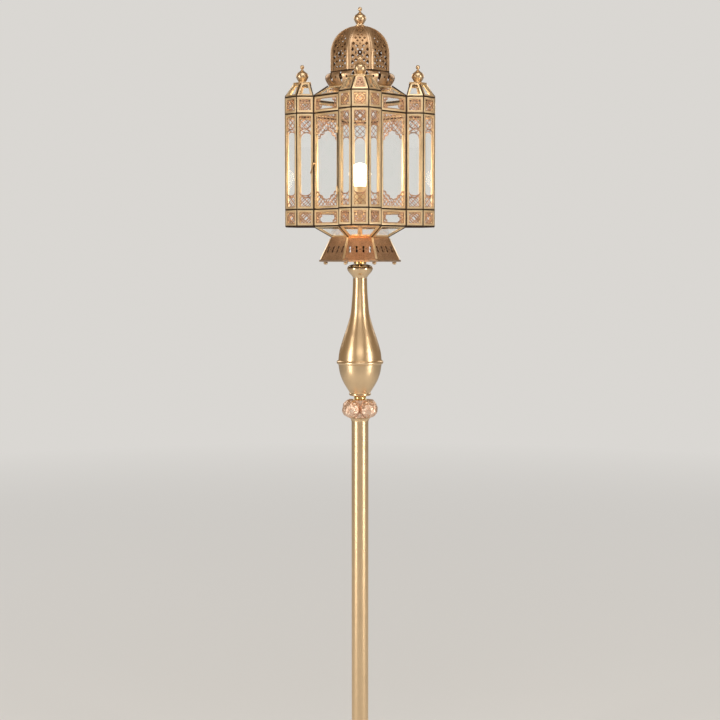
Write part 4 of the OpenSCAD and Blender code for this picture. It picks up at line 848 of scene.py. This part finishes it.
def makeNet(name, halfWidth, low, high, cell, points, spring, up):
    # Diamonds: a grid turned by 45 degrees, of which only the cells in the sheet are kept
    across = max(2, int(round(2 * halfWidth / cell / math.sqrt(2))))
    side = 2 * halfWidth / across / math.sqrt(2)
    count = 2 * int(math.ceil((halfWidth + (high - low) / 2) / side))
    deselectAll()
    bpy.ops.mesh.primitive_grid_add(x_subdivisions=count, y_subdivisions=count, size=1.0, location=(0, 0, 0))
    net = bpy.context.object
    net.name = name
    net.scale = (count * side, count * side, 1.0)
    net.rotation_euler = (0, 0, math.radians(45))
    net.location = (0, (low + high) / 2, 0)
    bpy.ops.object.transform_apply(location=True, rotation=True, scale=True)
    bpy.ops.object.mode_set(mode="EDIT")
    bpy.ops.mesh.select_all(action="DESELECT")
    bpy.ops.object.mode_set(mode="OBJECT")
    for face in net.data.polygons:
        x, y = face.center.x, face.center.y
        outside = abs(x) > halfWidth or not low <= y <= high
        face.select = outside or insideArch(x, y, points, spring, up)
    deleteSelectedFaces()
    for corner in net.data.vertices:
        corner.co.x = max(-halfWidth, min(halfWidth, corner.co.x))
        corner.co.y = max(low, min(high, corner.co.y))
        for step in range(lace["hugSteps"]):
            if not insideArch(corner.co.x, corner.co.y, points, spring, up):
                break
            corner.co.y += up * lace["hugStep"]
    wire = net.modifiers.new("bars", "WIREFRAME")
    wire.thickness = lace["bar"]
    wire.use_even_offset = False
    wire.use_boundary = True
    wire.use_replace = True
    bpy.ops.object.modifier_apply(modifier=wire.name)
    return net


def makeRim(name, points, radius):
    line = bpy.data.curves.new(name, "CURVE")
    line.dimensions = "3D"
    spline = line.splines.new("POLY")
    spline.points.add(len(points) - 1)
    for point, (x, y) in zip(spline.points, points):
        point.co = (x, y, 0.0, 1.0)
    line.bevel_depth = radius
    line.bevel_resolution = 1
    line.use_fill_caps = True
    rim = bpy.data.objects.new(name, line)
    bpy.context.scene.collection.objects.link(rim)
    selectOnly(rim)
    bpy.ops.object.convert(target="MESH")
    return bpy.context.object


def windowLace(name, fullWidth, cell, kind, rises):
    half = fullWidth / 2 - plan["strip"] + lace["over"]
    top = plan["windowHeight"] - plan["levelStrip"] + lace["over"]
    foot = plan["levelStrip"] - lace["over"]
    spring, lower = plan["springHeight"], plan["lowerEdge"]
    upperEdge = archPoints(kind, half, spring, rises[0], 1)
    lowerEdge = archPoints(kind, half, lower, rises[1], -1)
    parts = [
        makeNet(name + "Upper", half, spring, top, cell, upperEdge, spring, 1),
        makeRim(name + "UpperRim", upperEdge, lace["rimRadius"]),
        makeNet(name + "Lower", half, foot, lower, cell, lowerEdge, lower, -1),
        makeRim(name + "LowerRim", lowerEdge, lace["rimRadius"]),
    ]
    sheet = joinPieces(parts, name)
    sheet.data.transform(Matrix.Translation((0, 0, plan["sheetDepth"])))
    return sheet


def standCopies(sheet, places, name):
    # Copies of a piece that is drawn in millimetres, put in their places and joined, in metres
    copies = []
    for place in places:
        copy = bpy.data.objects.new(name, sheet.data.copy())
        bpy.context.scene.collection.objects.link(copy)
        copy.data.transform(Matrix.Scale(0.001, 4) @ place)
        copies.append(copy)
    return joinPieces(copies, name)


def roundCopies(master, name, count):
    # Copies turned about the lamp's axis
    return standCopies(master, [Matrix.Rotation(2 * math.pi * i / count, 4, "Z") for i in range(count)], name)


def friezeSheets(nodeName, name):
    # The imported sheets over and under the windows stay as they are; those in the windows go
    piece = copyNode(nodeName, name)
    low = plan["sill"] / 1000.0
    high = (plan["sill"] + plan["windowHeight"]) / 1000.0
    for face in piece.data.polygons:
        face.select = low < face.center.z < high
    deleteSelectedFaces()
    return piece


def finishLace(piece, bodyName, nodeName):
    giveFinish(piece, "laceCopper")
    joinBody(piece, bodyName, "rose_copper", nodeName)
    print(piece.name, len(piece.data.polygons), "faces")


doorSide = 3
turretSheet = windowLace("turretLaceMaster", plan["turretSide"], lace["turretCell"], "round",
                         lace["turretRises"])
panelSheet = windowLace("panelLaceMaster", plan["panelWidth"], lace["panelCell"], "keel",
                        lace["panelRises"])
for i, sideName in enumerate(("front", "right", "back", "left")):
    turretLace = standCopies(turretSheet, [turretPlace(i, k, plan["sill"]) for k in range(-2, 3)],
                             sideName + "TurretLace")
    finishLace(turretLace, "lamp", "turret_fretwork")
panelLace = standCopies(panelSheet, [panelPlace(i, plan["sill"]) for i in range(4) if i != doorSide],
                        "panelLace")
finishLace(panelLace, "lamp", "panel_fretwork")
doorLace = standCopies(panelSheet, [panelPlace(doorSide, plan["sill"])], "doorLace")
finishLace(doorLace, "door", "door_fretwork")
finishLace(friezeSheets("turret_fretwork", "turretFriezes"), "lamp", "turret_fretwork")
finishLace(friezeSheets("panel_fretwork", "panelFriezes"), "lamp", "panel_fretwork")
for master in (turretSheet, panelSheet):
    bpy.data.objects.remove(master)
print("window lace made")


# The dome's gores, drawn flat and then bent: x across, y up the sheet from the dome's foot.
# Sizes in millimetres.

dome = {
    "foot": 1517.2, "radius": 58.0, "drum": 36.0, "sheet": 1.0, "endAngle": 84.0, "ribHalf": 2.9,
    "count": 8, "columns": 14, "rows": 44, "narrowest": 0.4, "holeDepth": 4.0, "holeGrowth": 1.34,
    # the raised border: width, most of the gore's half width that it takes, rise and depth
    "border": 3.4, "borderShare": 0.6, "borderRise": 0.8, "borderSunk": -0.1, "borderColumns": 2,
}
dome["length"] = dome["drum"] + dome["radius"] * math.radians(dome["endAngle"])

goreHoles = [
    # x (both sides where not 0), y, half width, half height, corners
    (0.0, 33.0, 3.6, 4.4, 8), (4.6, 39.4, 1.7, 1.9, 4), (4.6, 26.8, 1.7, 1.9, 4), (8.6, 33.0, 1.5, 2.4, 4),
    (13.4, 51.5, 3.0, 3.2, 4), (14.8, 39.2, 2.3, 3.3, 4), (14.6, 26.5, 3.0, 3.2, 4),
    (15.6, 14.0, 2.9, 3.2, 4),
    (6.4, 46.6, 2.4, 2.3, 4), (8.2, 18.6, 2.5, 2.5, 4), (0.0, 51.4, 1.5, 2.0, 4), (0.0, 19.6, 2.0, 2.4, 4),
    (4.9, 57.8, 2.2, 2.1, 4), (0.0, 8.0, 2.6, 2.4, 4), (8.4, 7.6, 2.1, 2.0, 4), (16.8, 5.2, 1.8, 1.8, 3),
    (0.0, 64.4, 2.0, 2.0, 4), (9.2, 63.8, 2.2, 2.4, 4), (3.8, 71.6, 2.5, 2.1, 3), (0.0, 79.0, 1.6, 1.7, 4),
    (4.4, 84.2, 1.7, 1.8, 4), (0.0, 91.0, 1.3, 1.9, 4),
]


def goreAngle(y):
    return max(0.0, y - dome["drum"]) / dome["radius"]


def goreHalfWidth(y):
    reach = dome["radius"] * math.cos(goreAngle(y))
    return max(dome["narrowest"], reach * math.tan(halfTurn) - dome["ribHalf"])


def bentGore(x, y, z):
    reach, angle = dome["radius"] + z, goreAngle(y)
    height = min(y, dome["drum"]) + reach * math.sin(angle) + dome["foot"]
    return Vector((x, -reach * math.cos(angle), height))


def slabFromGrid(name, columns, rows, outline, low, high):
    # outline(u, v) gives x and y for u and v from 0 to 1
    deselectAll()
    bpy.ops.mesh.primitive_grid_add(x_subdivisions=columns, y_subdivisions=rows, size=1.0, location=(0, 0, 0))
    slab = bpy.context.object
    slab.name = name
    for corner in slab.data.vertices:
        x, y = outline(corner.co.x + 0.5, corner.co.y + 0.5)
        corner.co = (x, y, high)
    bpy.ops.object.mode_set(mode="EDIT")
    bpy.ops.mesh.select_all(action="SELECT")
    bpy.ops.mesh.extrude_region_move(TRANSFORM_OT_translate={"value": (0, 0, low - high)})
    bpy.ops.object.mode_set(mode="OBJECT")
    turnFacesOut()
    return slab


def cutHoles(slab, holes, depth):
    cutters = []
    for x, y, wide, high, corners in holes:
        for side in ((1,) if x == 0 else (-1, 1)):
            deselectAll()
            bpy.ops.mesh.primitive_cylinder_add(vertices=corners, radius=1.0, depth=depth,
                                                location=(side * x, y, 0))
            cutter = bpy.context.object
            cutter.rotation_euler = (0, 0, math.pi / 2 if corners == 3 else 0)
            bpy.ops.object.transform_apply(location=False, rotation=True, scale=False)
            cutter.scale = (wide * dome["holeGrowth"], high * dome["holeGrowth"], 1.0)
            bpy.ops.object.transform_apply(location=True, rotation=True, scale=True)
            cutters.append(cutter)
    cutter = joinPieces(cutters, "holeCutter")
    selectOnly(slab)
    cut = slab.modifiers.new("holes", "BOOLEAN")
    cut.operation = "DIFFERENCE"
    cut.solver = "EXACT"
    cut.object = cutter
    bpy.ops.object.modifier_apply(modifier=cut.name)
    bpy.data.objects.remove(cutter)


shells = {"smooth": 30.0, "inward": 0.2}


def paintShadeOnInside(piece):
    # Painted shade: faces that look towards the lamp's axis get a dark finish, for the shade inside the shell
    piece.data.materials.append(finishes["shadedInside"])
    for face in piece.data.polygons:
        middle, normal = face.center, face.normal
        away = middle.x * normal.x + middle.y * normal.y
        if away < -shells["inward"] * math.hypot(middle.x, middle.y):
            face.material_index = 1


def finishShell(piece, finishName, slotName, nodeName):
    bpy.ops.object.shade_smooth_by_angle(angle=math.radians(shells["smooth"]))
    giveFinish(piece, finishName)
    paintShadeOnInside(piece)
    joinBody(piece, "lamp", slotName, nodeName)
    print(piece.name, len(piece.data.polygons), "faces")


def makeBorder():
    # The raised edges of a gore
    borders = []
    for side in (-1, 1):
        def edge(u, v, side=side):
            y = v * dome["length"]
            half = goreHalfWidth(y)
            return side * (half - (1 - u) * min(dome["border"], half * dome["borderShare"])), y
        border = slabFromGrid("goreBorder", dome["borderColumns"], dome["rows"], edge, dome["borderSunk"],
                              dome["borderRise"])
        for corner in border.data.vertices:
            corner.co = bentGore(*corner.co)
        if side < 0:
            border.data.flip_normals()
        borders.append(border)
    border = joinPieces(borders, "goreBorder")
    selectOnly(border)
    turnFacesOut()
    return border


def makeGores():
    gore = slabFromGrid("goreMaster", dome["columns"], dome["rows"],
                        lambda u, v: ((2 * u - 1) * goreHalfWidth(v * dome["length"]), v * dome["length"]),
                        -dome["sheet"], 0.0)
    cutHoles(gore, goreHoles, dome["holeDepth"])
    for corner in gore.data.vertices:
        corner.co = bentGore(*corner.co)
    border = makeBorder()
    for master, name, finishName in ((gore, "piercedGores", "domeCopper"),
                                     (border, "goreBorders", "ribBrass")):
        whole = roundCopies(master, name, dome["count"])
        finishShell(whole, finishName, "rose_copper", "dome_gores")
        bpy.data.objects.remove(master)


makeGores()
print("dome made")


finishShell(copyNode("skirt_panels", "skirtPlates"), "skirtCopper", "rose_copper", "skirt_panels")
finishShell(copyNode("gallery", "galleryBand"), "galleryBrass", "brass", "gallery")
print("shells with dark insides made")


# Dark rods in the open seams between the sloping strips of the roofs and of the lantern's foot

slopes = {
    # corners in plan: x, y; heights of the lower and upper ends
    "rod": 1.35, "sides": 10, "sunk": 1.3, "smooth": 40.0,
    "bodyCorner": (42.25, -93.5), "seatCorner": (24.23, -58.5), "roofCorner": (27.5, -66.4),
    "foot": (1183.4, 1203.6), "roof": (1467.2, 1487.6), "turret": (1467.2, 1492.2),
    "turretCorners": [((17.5, -42.25), (10.0, -24.14)), ((42.25, -17.5), (24.14, -10.0)),
                      ((42.25, 16.5), (24.14, 10.0))],
}


def addRod(start, end):
    start, end = Vector(start), Vector(end)
    run = end - start
    bpy.ops.mesh.primitive_cylinder_add(vertices=slopes["sides"], radius=slopes["rod"], depth=run.length,
                                        location=(start + end) / 2)
    rod = bpy.context.object
    rod.rotation_euler = run.to_track_quat("Z", "Y").to_euler()
    bpy.ops.object.transform_apply(location=True, rotation=True, scale=True)
    return rod


def sunkPoint(corner, level):
    # A point a little nearer to the middle than the corner is
    away = Vector(corner)
    away *= (away.length - slopes["sunk"]) / away.length
    return Vector((away.x, away.y, level))


def makeSlopeSeams():
    # rods of one side: the foot's, the main roof's and a turret's, which stands away from the axis
    axis, turretAxis = Vector((0, 0, 0)), Vector((0, -plan["turretReach"], 0))
    runs = [(slopes["seatCorner"], slopes["bodyCorner"], slopes["foot"], axis),
            (slopes["bodyCorner"], slopes["roofCorner"], slopes["roof"], axis)]
    runs += [(corner, head, slopes["turret"], turretAxis) for corner, head in slopes["turretCorners"]]
    rods = []
    for corner, head, (low, high), offset in runs:
        for side in (-1, 1):
            start = sunkPoint((side * corner[0], corner[1]), low)
            end = sunkPoint((side * head[0], head[1]), high)
            rods.append(addRod(start + offset, end + offset))
    quarter = joinPieces(rods, "slopeSeams")
    whole = roundCopies(quarter, "slopeSeams", 4)
    bpy.ops.object.shade_smooth_by_angle(angle=math.radians(slopes["smooth"]))
    giveFinish(whole, "seamMetal")
    joinBody(whole, "lamp", "dark_seam")
    bpy.data.objects.remove(quarter)


makeSlopeSeams()
print("sloping seams made")
